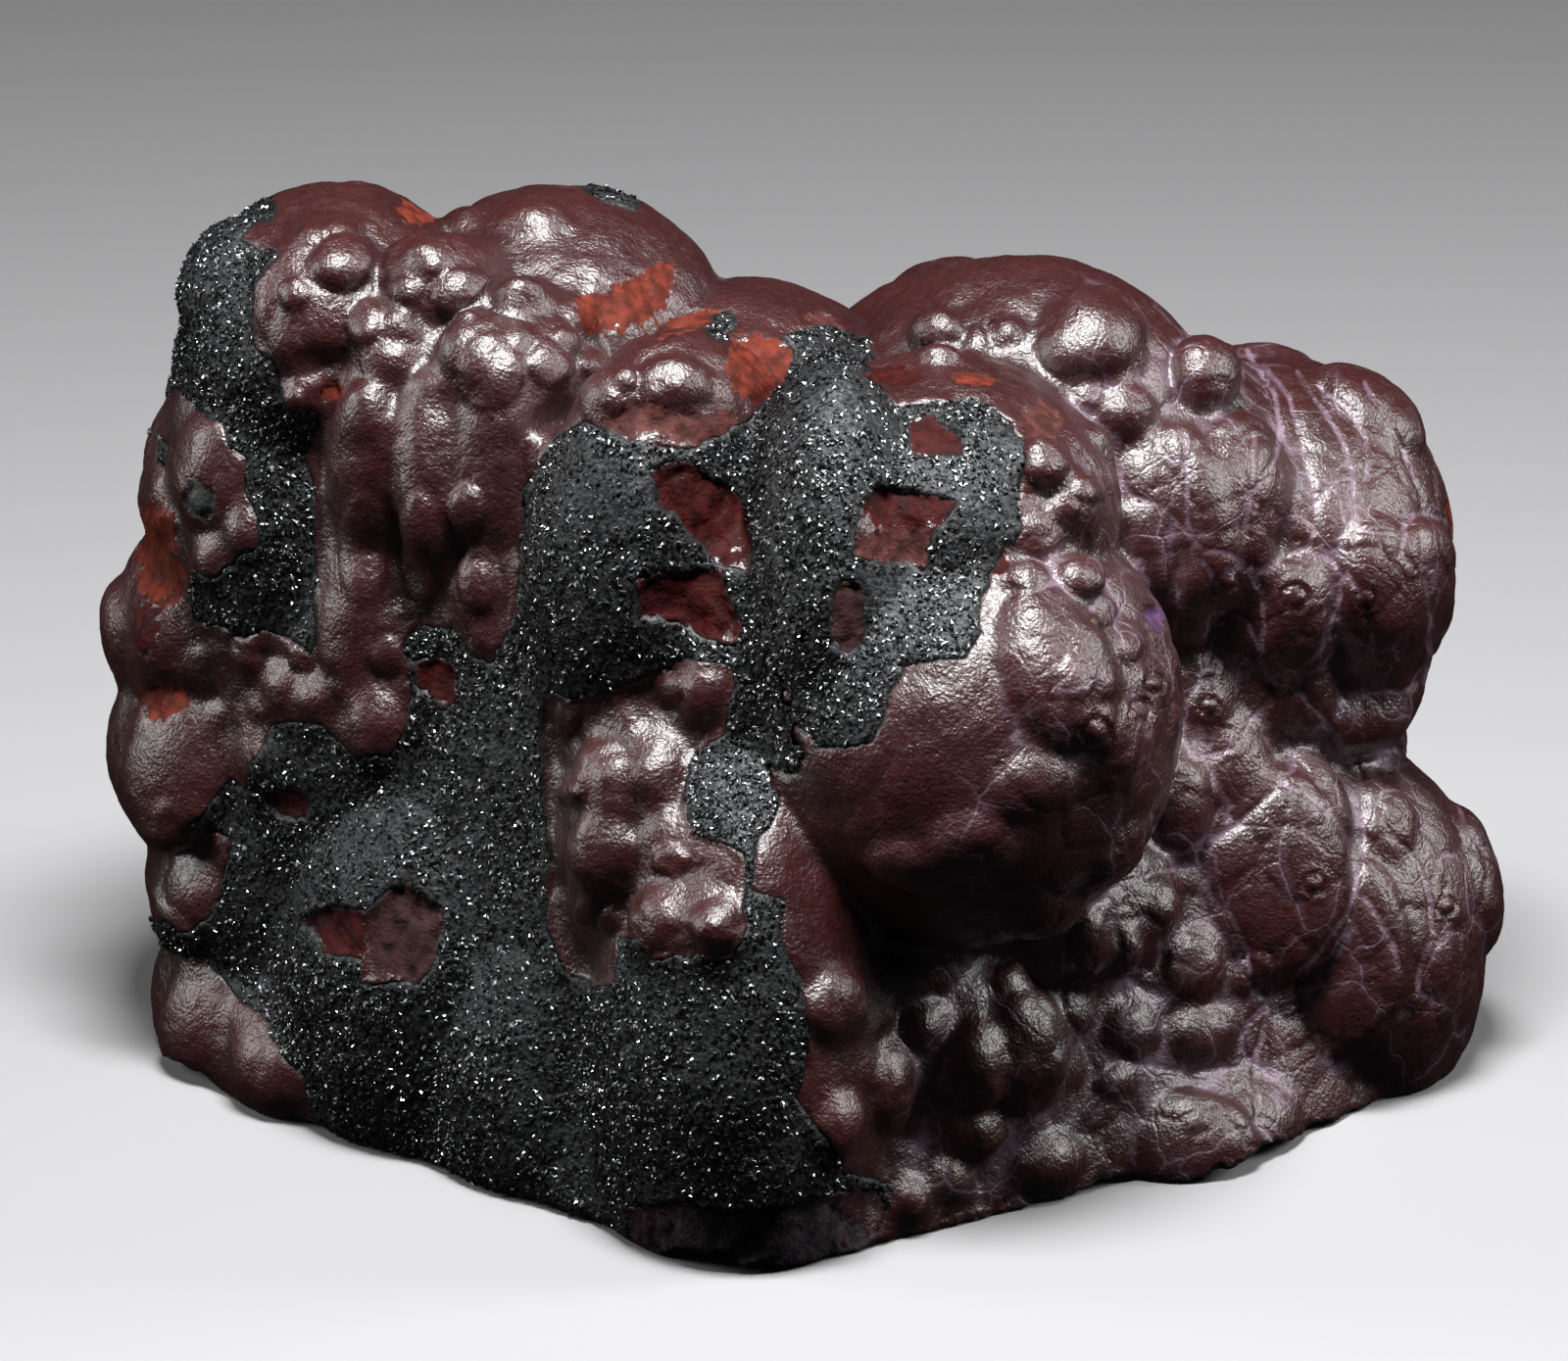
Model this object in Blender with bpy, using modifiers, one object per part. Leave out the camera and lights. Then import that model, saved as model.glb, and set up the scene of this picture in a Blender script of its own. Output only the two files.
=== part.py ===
"""A lump of botryoidal hematite (kidney ore), 80 mm wide, 60 mm deep and 50 mm high.

+Z is up and -Y faces the viewer, who sees one upright edge of the lump with a wall falling away
to each side of it. The origin is at the middle of the flat broken face that the lump rests on.
The lump is one solid: a block of massive ore, the round masses that grew out of it, and the
ridges and knobs on the masses, all fused.
"""

import math

import bmesh
import bpy
from mathutils import Matrix, Vector
from mathutils.bvhtree import BVHTree

MM = 0.001
WIDTH = 80.0
DEPTH = 60.0
HEIGHT = 50.0

# The block of massive ore: its outline at the base and at the shoulder, in mm, both from the
# left corner round the front, and the height of the shoulder, which falls to the right.
FOOTPRINT = [
    (-36, 4), (-34, -3), (-17, -19.5), (-1.5, -30), (32, -10.5), (38, -1), (36, 8), (20, 24),
    (-2, 28), (-24, 21),
]
SHOULDER = [
    (-33, 9), (-30, 2), (-15, -9), (-3, -19), (24, 0), (30, 5), (33, 10), (18, 22),
    (-2, 25), (-22, 20),
]
BELOW_BASE = 5.0
SHOULDER_HEIGHT = 38.0
SHOULDER_FALL = 0.18
ROUNDING = 5.0

# How far the two walls turn from facing the viewer, in degrees.
LEFT = -38.0
RIGHT = 37.0
AHEAD = 0.0

# A mass is an ellipsoid: its middle, its half width, half depth and half height in mm, and the
# way it faces.
MASSES = {
    "left dome": (-26.8, 6.5, 41.3, 8.9, 10.0, 8.8, AHEAD),
    "left shoulder": (-28.5, 8.0, 31.0, 9.0, 12.0, 16.0, AHEAD),
    "second dome": (-14.0, 9.0, 41.6, 9.8, 11.0, 7.4, AHEAD),
    "middle dome": (-3.5, 6.0, 37.4, 9.5, 11.0, 7.0, AHEAD),
    "hanging fold": (-20.0, 1.5, 38.5, 6.0, 8.5, 10.0, LEFT),
    "inner fold": (-16.0, -1.5, 36.0, 6.0, 8.0, 11.0, LEFT),
    "long fold": (-24.0, 3.5, 30.0, 7.0, 8.5, 14.0, LEFT),
    "pillar": (-6.8, -9.0, 32.5, 7.3, 10.0, 14.0, LEFT),
    "pillar foot": (-5.0, -12.0, 19.5, 7.0, 10.5, 12.0, LEFT),
    "left wall": (-21.0, 5.5, 18.0, 18.0, 13.5, 26.0, LEFT),
    "bulge side": (2.0, -12.0, 31.0, 6.0, 10.5, 15.0, AHEAD),
    "upper bulge": (7.5, -8.5, 36.5, 10.5, 11.5, 8.0, AHEAD),
    "great bulge": (8.7, -12.5, 26.0, 12.8, 14.0, 12.5, AHEAD),
    "right dome": (13.0, 5.0, 36.0, 11.5, 11.5, 10.2, AHEAD),
    "right dome flank": (19.5, 5.0, 32.5, 10.0, 11.5, 9.3, AHEAD),
    "right shoulder": (27.8, 8.5, 29.0, 10.6, 12.0, 10.0, AHEAD),
    "right flank": (30.5, 8.5, 23.0, 7.0, 9.5, 8.0, AHEAD),
    "right fold": (24.0, 6.0, 28.0, 10.0, 10.0, 11.5, RIGHT),
    "right waist": (24.0, 5.5, 22.0, 11.0, 9.5, 10.0, RIGHT),
    "lower right dome": (32.4, 4.0, 6.2, 8.4, 10.5, 11.6, AHEAD),
    "right lobe": (25.0, 1.5, 12.5, 8.5, 9.5, 8.5, RIGHT),
    "low lobe": (19.5, -2.5, 8.0, 8.0, 9.0, 8.0, RIGHT),
    "upper low lobe": (19.0, -0.5, 18.0, 8.0, 8.5, 8.0, RIGHT),
    "front cluster": (7.5, -12.0, 6.0, 12.0, 8.8, 10.0, RIGHT),
    "under bulge": (14.0, -9.0, 14.0, 8.0, 7.5, 5.5, RIGHT),
    "foot lobe": (21.5, -7.0, 0.0, 8.0, 8.5, 5.8, RIGHT),
    "left wall rib": (-18.5, -2.5, 6.0, 12.0, 12.0, 18.0, LEFT),
    "corner column": (-3.0, -15.5, 6.0, 9.5, 13.5, 22.0, AHEAD),
    "left wall swell": (-27.0, 4.5, 11.0, 10.0, 9.5, 14.0, LEFT),
    "front wall rib": (-10.5, -8.5, 2.0, 10.5, 11.8, 17.0, LEFT),
    "left foot": (-25.5, 0.5, 1.0, 10.0, 9.4, 9.0, LEFT),
    "far left lobe 1": (-32.0, 9.0, 31.5, 6.5, 9.0, 8.0, AHEAD),
    "far left lobe 2": (-33.2, 9.0, 24.0, 6.9, 9.5, 7.0, AHEAD),
    "far left lobe 3": (-33.5, 8.5, 16.5, 7.4, 10.0, 7.2, AHEAD),
    "far left lobe 4": (-32.0, 7.5, 9.0, 6.8, 9.5, 6.2, AHEAD),
    "far left lobe 5": (-31.5, 6.0, 2.0, 7.0, 9.0, 6.8, AHEAD),
    "back left dome": (-25.0, 13.0, 34.0, 10.0, 10.5, 10.0, AHEAD),
    "back dome": (-11.0, 16.5, 32.5, 11.0, 11.0, 10.5, AHEAD),
    "back right dome": (10.0, 18.0, 31.0, 11.0, 10.5, 10.5, AHEAD),
    "back shoulder": (24.0, 16.0, 26.0, 9.5, 9.5, 9.5, AHEAD),
    "back lobe 1": (-30.0, 14.0, 20.0, 7.5, 8.0, 8.5, AHEAD),
    "back lobe 2": (-19.0, 19.5, 20.0, 8.5, 8.5, 9.0, AHEAD),
    "back lobe 3": (-3.0, 22.0, 18.0, 9.0, 8.0, 9.5, AHEAD),
    "back lobe 4": (13.0, 20.5, 17.0, 9.0, 8.5, 9.0, AHEAD),
    "back lobe 5": (28.0, 13.5, 14.0, 8.5, 9.0, 9.5, AHEAD),
}

# A knob sits on the masses where a line from the centre comes out. It has the line's bearing,
# in degrees to the right of straight ahead, the line's rise in degrees, the knob's half width
# and half height in mm, how far it stands proud, and its lean in degrees clockwise.
CENTRE = (0.0, 3.0, 20.0)
SUNK = 0.4
KNOBS = [
    # On the left dome.
    (-81, 44, 3.5, 3.8, 1.4, 0),
    (-82, 47, 1.7, 1.7, 1.2, 0),
    (-82, 44, 1.4, 1.5, 0.6, 0),
    (-88, 46, 1.4, 1.0, 0.6, 0),
    (-79, 40, 1.5, 1.9, 0.8, 0),
    (-75, 45, 1.4, 1.8, 0.9, 0),
    (-77, 37, 1.2, 1.7, 0.8, 0),
    # On the hanging folds beside it.
    (-78, 53, 2.8, 3.0, 1.2, 0),
    (-81, 54, 1.7, 1.7, 0.6, 0),
    (-73, 47, 1.1, 1.1, 0.8, 0),
    (-71, 44, 1.5, 1.5, 0.9, 0),
    (-64, 50, 2.1, 2.6, 1.6, 0),
    (-64, 38, 1.8, 5.1, 1.4, -10),
    (-56, 44, 2.1, 5.4, 1.3, 12),
    (-71, 32, 2.5, 6.0, 1.3, 4),
    (-70, 20, 2.4, 5.1, 1.1, 0),
    (-70, 58, 1.7, 1.2, 1.0, 0),
    (-69, 62, 1.5, 1.3, 0.9, 0),
    (-62, 58, 1.2, 1.2, 0.9, 0),
    (-58, 53, 2.3, 2.6, 1.2, 0),
    (-58, 37, 1.0, 1.7, 0.9, 0),
    (-62, 28, 1.0, 1.8, 0.9, 0),
    (-56, 28, 1.4, 2.6, 1.2, 0),
    (-54, 23, 1.0, 1.4, 0.8, 0),
    # On the second dome and the pillar's crown.
    (-100, 61, 2.4, 1.7, 0.9, 0),
    (-105, 54, 2.0, 1.4, 0.8, 0),
    (-34, 52, 1.8, 1.6, 0.9, 0),
    (-23, 55, 1.9, 1.7, 1.0, 0),
    # Down the far left edge and the left wall.
    (-84, 25, 2.8, 3.2, 1.2, 0),
    (-91, 19, 1.3, 1.5, 0.7, 0),
    (-82, 18, 1.4, 1.6, 0.9, 0),
    (-79, 22, 1.1, 1.5, 0.8, 0),
    (-88, 8, 2.0, 2.6, 0.9, 0),
    (-85, -2, 3.4, 4.7, 1.2, 0),
    (-85, -15, 2.9, 2.9, 1.1, 0),
    (-83, -25, 3.2, 3.9, 1.2, 0),
    (-72, -28, 2.8, 2.5, 0.9, 0),
    (-80, 10, 1.2, 1.4, 0.7, 0),
    (-69, 13, 1.3, 1.4, 0.7, 0),
    (-66, 8, 1.9, 2.6, 1.3, 0),
    (-84, 2, 1.4, 1.5, 0.7, 0),
    (-72, 8, 1.5, 1.5, 0.6, 0),
    (-76, 8, 1.3, 1.5, 0.7, 0),
    (-78, 0, 1.9, 2.1, 0.8, 0),
    # On the pillar's bare foot.
    (-14, 23, 1.8, 1.9, 1.3, 0),
    (-25, 19, 1.1, 1.4, 0.6, 0),
    (-26, 11, 2.3, 2.2, 1.2, 0),
    (-19, 12, 1.9, 2.4, 1.0, 0),
    (-25, 2, 2.4, 2.7, 1.4, 0),
    (-17, 5, 1.4, 1.9, 1.0, 0),
    (-16, -3, 2.2, 2.2, 1.4, 0),
    (-9, -2, 1.9, 1.8, 1.7, 0),
    # On the great bulge.
    (35, 43, 1.4, 1.7, 1.0, 0),
    (32, 36, 1.3, 1.2, 0.7, 0),
    (40, 39, 2.0, 2.0, 0.8, 0),
    (28, 32, 1.5, 1.3, 0.8, 0),
    (35, 31, 2.1, 1.7, 1.0, 0),
    (29, 23, 3.4, 4.3, 1.4, 0),
    (34, 15, 1.9, 2.6, 0.9, 0),
    (24, 12, 2.5, 1.9, 0.8, 0),
    (18, 7, 2.5, 2.0, 0.9, 0),
    (12, 4, 2.5, 1.9, 0.8, 0),
    # On the right dome.
    (69, 70, 1.8, 1.5, 1.0, 0),
    (37, 62, 1.6, 0.9, 0.6, 0),
    (75, 54, 3.2, 3.1, 1.6, 0),
    (69, 62, 1.0, 1.1, 0.6, 0),
    (85, 42, 2.2, 2.0, 1.9, 0),
    (70, 46, 2.1, 1.6, 1.1, 0),
    (56, 45, 1.4, 1.4, 0.7, 0),
    (74, 40, 1.5, 0.9, 0.7, 0),
    (68, 39, 1.7, 3.2, 0.9, -8),
    (70, 32, 2.2, 4.8, 1.2, -8),
    (75, 27, 1.9, 4.5, 1.0, -8),
    # On the right shoulder and waist.
    (82, 16, 2.8, 3.6, 1.0, 0),
    (86, 13, 2.0, 3.8, 0.9, 0),
    (77, 15, 2.8, 3.9, 1.3, 0),
    (72, 22, 1.5, 1.9, 0.7, 0),
    (71, 19, 1.7, 4.6, 1.0, -5),
    (64, 31, 1.6, 3.3, 1.0, -8),
    (72, 10, 2.4, 3.7, 1.3, 8),
    (80, 7, 2.0, 2.7, 1.0, 0),
    (86, 7, 2.1, 2.2, 0.9, 0),
    (85, 1, 3.2, 2.1, 1.0, 0),
    (82, 3, 1.0, 1.0, 0.6, 0),
    # On the lower right lobes.
    (61, -3, 2.6, 3.2, 1.2, 15),
    (73, 1, 2.4, 3.1, 1.0, 15),
    (77, -3, 2.3, 3.5, 1.0, -10),
    (69, -11, 4.6, 5.8, 1.4, 0),
    (71, -13, 1.0, 1.0, 0.7, 0),
    (65, -21, 1.2, 1.0, 0.6, 0),
    (82, -7, 2.5, 2.6, 1.0, 0),
    (74, -18, 3.3, 5.4, 1.0, 0),
    (36, 2, 2.1, 2.3, 1.0, 20),
    (29, -4, 2.7, 1.9, 1.0, 0),
    (40, -13, 1.5, 2.0, 1.0, 0),
    (46, -16, 1.1, 1.6, 0.9, 0),
    (53, -12, 1.6, 1.6, 0.9, 0),
    (59, -20, 2.1, 2.3, 1.0, 0),
    (41, -23, 1.5, 1.7, 0.8, 0),
    (58, -26, 2.5, 1.7, 0.9, 0),
    (49, -26, 2.1, 1.7, 0.9, 0),
    # In the low cluster at the front.
    (31, -24, 2.8, 3.4, 1.7, 0),
    (23, -24, 1.9, 2.4, 1.5, 0),
    (16, -20, 1.5, 1.5, 1.0, 0),
    (11, -24, 2.1, 2.6, 1.3, 0),
    (23, -31, 1.8, 1.4, 1.0, 0),
    (33, -35, 2.6, 1.8, 1.3, 0),
    (19, -34, 1.5, 1.5, 0.9, 0),
    (13, -34, 1.3, 1.5, 1.0, 0),
    (4, -22, 1.9, 1.9, 1.1, 0),
    (17, -15, 3.7, 1.8, 1.2, 0),
    (4, -11, 2.3, 2.0, 1.2, 0),
    (30, -18, 1.4, 1.0, 0.7, 0),
    (51, -33, 3.8, 3.0, 1.2, 0),
    (45, -30, 1.4, 1.0, 0.7, 0),
    # Round the sides and the back, clockwise from the right
    (78, 32, 3.6, 3.4, 1.2, 0),
    (86, 12, 4.2, 4.6, 1.3, 0),
    (92, -14, 4.0, 4.0, 1.1, 0),
    (98, 27, 3.4, 3.6, 1.1, 0),
    (108, 6, 4.0, 4.6, 1.3, 0),
    (112, -16, 3.6, 3.8, 1.1, 0),
    (118, 27, 4.0, 3.8, 1.3, 0),
    (130, 11, 3.4, 3.8, 1.1, 0),
    (134, 36, 3.2, 3.0, 1.1, 0),
    (141, -6, 3.8, 4.2, 1.2, 0),
    (149, 22, 4.4, 4.0, 1.4, 0),
    (157, 40, 3.4, 3.0, 1.1, 0),
    (163, 4, 3.4, 3.6, 1.1, 0),
    (170, 27, 3.2, 3.4, 1.1, 0),
    (180, -8, 3.6, 4.0, 1.2, 0),
    (184, 37, 4.0, 3.4, 1.3, 0),
    (191, 15, 3.0, 3.2, 1.0, 0),
    (200, 30, 3.6, 3.4, 1.2, 0),
    (206, 1, 3.4, 4.0, 1.2, 0),
    (213, 44, 3.2, 3.0, 1.1, 0),
    (219, 24, 4.2, 3.8, 1.3, 0),
    (228, -4, 3.2, 3.6, 1.1, 0),
    (234, 37, 3.4, 3.2, 1.2, 0),
    (241, 16, 3.4, 4.0, 1.1, 0),
    (252, 28, 3.4, 3.6, 1.2, 0),
    (262, 4, 3.2, 3.2, 1.0, 0),
    (268, 38, 3.2, 3.0, 1.0, 0),
]

# How fine the fused skin is in mm, and how many triangles it keeps before the base is cut.
VOXEL = 0.5
TRIANGLES = 11000
FAR = 100.0
CUTTER_DEPTH = 40.0

SKIN_COLOUR = (0.105, 0.033, 0.030, 1.0)
SKIN_ROUGHNESS = 0.38
SKIN_METALLIC = 0.15


def clear_scene():
    for thing in list(bpy.data.objects):
        bpy.data.objects.remove(thing, do_unlink=True)


def add_block(mesh):
    """Lofts the block from the footprint up to the shoulder and rounds its edges."""
    foot = [mesh.verts.new((x, y, -BELOW_BASE)) for x, y in FOOTPRINT]
    top = [mesh.verts.new((x, y, SHOULDER_HEIGHT - SHOULDER_FALL * x)) for x, y in SHOULDER]
    mesh.faces.new(reversed(foot))
    mesh.faces.new(top)
    for here in range(len(foot)):
        there = (here + 1) % len(foot)
        mesh.faces.new((foot[here], foot[there], top[there], top[here]))
    edges = [edge for edge in mesh.edges if any(end in top for end in edge.verts)]
    bmesh.ops.bevel(mesh, geom=edges, offset=ROUNDING, segments=4, profile=0.5, affect="EDGES")


def add_ellipsoid(mesh, middle, turn, half_sizes, cuts):
    frame = Matrix.Translation(middle) @ turn @ Matrix.Diagonal((*half_sizes, 1.0))
    bmesh.ops.create_icosphere(mesh, subdivisions=cuts, radius=1.0, matrix=frame)


def shape_of_masses():
    mesh = bmesh.new()
    add_block(mesh)
    for x, y, z, width, depth, height, facing in MASSES.values():
        turn = Matrix.Rotation(math.radians(facing), 4, "Z")
        add_ellipsoid(mesh, Vector((x, y, z)), turn, (width, depth, height), 4)
    return mesh


def surface_of(mesh):
    return BVHTree.FromBMesh(mesh)


def outward(bearing, rise):
    """The direction of a bearing to the right of straight ahead and a rise above level."""
    bearing, rise = math.radians(bearing), math.radians(rise)
    level = math.cos(rise)
    return Vector((math.sin(bearing) * level, -math.cos(bearing) * level, math.sin(rise)))


def add_knob(mesh, surface, knob):
    """Seats a knob on the masses, its depth along their normal and its height up their slope."""
    bearing, rise, width, height, proud, lean = knob
    line = outward(bearing, rise)
    spot, normal, _, _ = surface.ray_cast(Vector(CENTRE) + line * FAR, -line)
    turn = (-normal).to_track_quat("Y", "Z").to_matrix().to_4x4()
    turn = turn @ Matrix.Rotation(math.radians(lean), 4, "Y")
    depth = proud / (1.0 - SUNK)
    spread = 1.0 / math.sqrt(1.0 - SUNK ** 2)
    middle = spot - normal * depth * SUNK
    add_ellipsoid(mesh, middle, turn, (width * spread, depth, height * spread), 3)


def grow():
    """Makes the block, the masses and the knobs as overlapping closed shapes in one mesh."""
    mesh = shape_of_masses()
    surface = surface_of(mesh)
    for knob in KNOBS:
        add_knob(mesh, surface, knob)
    bmesh.ops.scale(mesh, vec=(MM, MM, MM), verts=mesh.verts)
    data = bpy.data.meshes.new("kidney_ore")
    mesh.to_mesh(data)
    mesh.free()
    return bpy.data.objects.new("kidney_ore", data)


def apply_modifiers(ore):
    seen = ore.evaluated_get(bpy.context.evaluated_depsgraph_get())
    data = bpy.data.meshes.new_from_object(seen)
    ore.modifiers.clear()
    ore.data = data


def fuse(ore):
    """Joins everything into one closed skin and thins its triangles out."""
    skin = ore.modifiers.new("fuse", "REMESH")
    skin.mode = "VOXEL"
    skin.voxel_size = VOXEL * MM
    apply_modifiers(ore)
    thin = ore.modifiers.new("thin", "DECIMATE")
    thin.ratio = TRIANGLES / (2 * len(ore.data.polygons))
    apply_modifiers(ore)


def fit_to_size(ore):
    """Stretches what stands above the base to the real size and centres it."""
    above = [corner.co for corner in ore.data.vertices if corner.co.z > 0.0]
    low = Vector([min(spot[axis] for spot in above) for axis in range(3)])
    high = Vector([max(spot[axis] for spot in above) for axis in range(3)])
    middle = Vector(((low.x + high.x) / 2, (low.y + high.y) / 2, 0.0))
    stretch = (
        WIDTH * MM / (high.x - low.x), DEPTH * MM / (high.y - low.y), HEIGHT * MM / high.z, 1.0
    )
    ore.data.transform(Matrix.Diagonal(stretch) @ Matrix.Translation(-middle))


def break_off(ore, cutters):
    """Cuts the lump off flat at z = 0, where it broke from its bed."""
    mesh = bmesh.new()
    bmesh.ops.create_cube(mesh, size=1.0)
    size = Vector((2.0 * WIDTH, 2.0 * DEPTH, CUTTER_DEPTH)) * MM
    bmesh.ops.scale(mesh, vec=size, verts=mesh.verts)
    data = bpy.data.meshes.new("base_cutter")
    mesh.to_mesh(data)
    mesh.free()
    cutter = bpy.data.objects.new("base_cutter", data)
    cutter.location.z = -CUTTER_DEPTH * MM / 2.0
    cutter.hide_render = True
    cutter.display_type = "WIRE"
    cutters.objects.link(cutter)
    cut = ore.modifiers.new("break", "BOOLEAN")
    cut.operation = "DIFFERENCE"
    cut.solver = "EXACT"
    cut.object = cutter


def skin_material():
    material = bpy.data.materials.new("hematite skin")
    material.use_nodes = True
    shader = material.node_tree.nodes["Principled BSDF"]
    shader.inputs["Base Color"].default_value = SKIN_COLOUR
    shader.inputs["Roughness"].default_value = SKIN_ROUGHNESS
    shader.inputs["Metallic"].default_value = SKIN_METALLIC
    return material


def add_collection(name):
    collection = bpy.data.collections.new(name)
    bpy.context.scene.collection.children.link(collection)
    return collection


def main():
    clear_scene()
    parts = add_collection("botryoidal hematite")
    cutters = add_collection("cutters")
    ore = grow()
    parts.objects.link(ore)
    fuse(ore)
    fit_to_size(ore)
    break_off(ore, cutters)
    ore.data.materials.append(skin_material())
    ore.data.shade_smooth()


main()
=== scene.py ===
"""The looks of a lump of botryoidal hematite (kidney ore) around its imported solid.

The lump is built again in millimetres from the masses and knobs of its solid, finely enough to
carry the small relief: round cells, scales, ring-shaped warts and flaked chips. A thin crust of
dark specular hematite lies on the front and the left, and its plates stand on it one by one.
Outlines that were read from the photograph are in the photograph's own pixels.
"""

import math
from functools import cached_property

import bmesh
import bpy
import numpy as np
from mathutils import Matrix, Vector
from mathutils.bvhtree import BVHTree


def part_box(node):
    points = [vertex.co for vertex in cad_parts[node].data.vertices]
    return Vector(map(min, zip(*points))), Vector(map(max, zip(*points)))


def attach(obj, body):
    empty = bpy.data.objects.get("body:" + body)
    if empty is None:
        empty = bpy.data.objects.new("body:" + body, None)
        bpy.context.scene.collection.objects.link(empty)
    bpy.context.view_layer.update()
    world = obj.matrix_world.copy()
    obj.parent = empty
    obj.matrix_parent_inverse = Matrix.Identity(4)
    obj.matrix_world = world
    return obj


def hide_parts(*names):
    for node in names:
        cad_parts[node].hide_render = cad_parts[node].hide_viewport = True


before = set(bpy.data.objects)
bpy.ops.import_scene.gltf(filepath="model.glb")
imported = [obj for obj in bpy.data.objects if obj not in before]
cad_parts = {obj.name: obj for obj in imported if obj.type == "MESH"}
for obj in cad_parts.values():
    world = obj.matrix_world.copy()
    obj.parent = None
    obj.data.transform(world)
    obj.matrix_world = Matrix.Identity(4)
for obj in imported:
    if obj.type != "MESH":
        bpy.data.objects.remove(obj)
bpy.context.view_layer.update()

MM = 0.001
NODE = "kidney_ore"

# The camera, in mm: 20 degrees above level, looking along +Y. The photograph's size and the
# camera's focal length are in pixels.
PHOTO_WIDTH = 1600
PHOTO_HEIGHT = 1389
FOCAL = 7320.0
SENSOR = 36.0
DISTANCE = 400.0
ELEVATION = math.radians(20.0)
TARGET = np.array((-1.1, 0.0, 22.9))
ACROSS = np.array((1.0, 0.0, 0.0))
TOWARD_CAMERA = np.array((0.0, -math.cos(ELEVATION), math.sin(ELEVATION)))
UPWARD = np.array((0.0, math.sin(ELEVATION), math.cos(ELEVATION)))

# The block of massive ore, in mm: its outline at the base and at the shoulder, both from the
# left corner round the front, and the height of the shoulder, which falls to the right.
FOOTPRINT = [
    (-36, 4), (-34, -3), (-17, -19.5), (-1.5, -30), (32, -10.5), (38, -1), (36, 8), (20, 24),
    (-2, 28), (-24, 21),
]
SHOULDER = [
    (-33, 9), (-30, 2), (-15, -9), (-3, -19), (24, 0), (30, 5), (33, 10), (18, 22),
    (-2, 25), (-22, 20),
]
BELOW_BASE = 5.0
SHOULDER_HEIGHT = 38.0
SHOULDER_FALL = 0.18
ROUNDING = 5.0

# How far the two walls turn from facing the viewer, in degrees.
LEFT = -38.0
RIGHT = 37.0
AHEAD = 0.0

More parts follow.
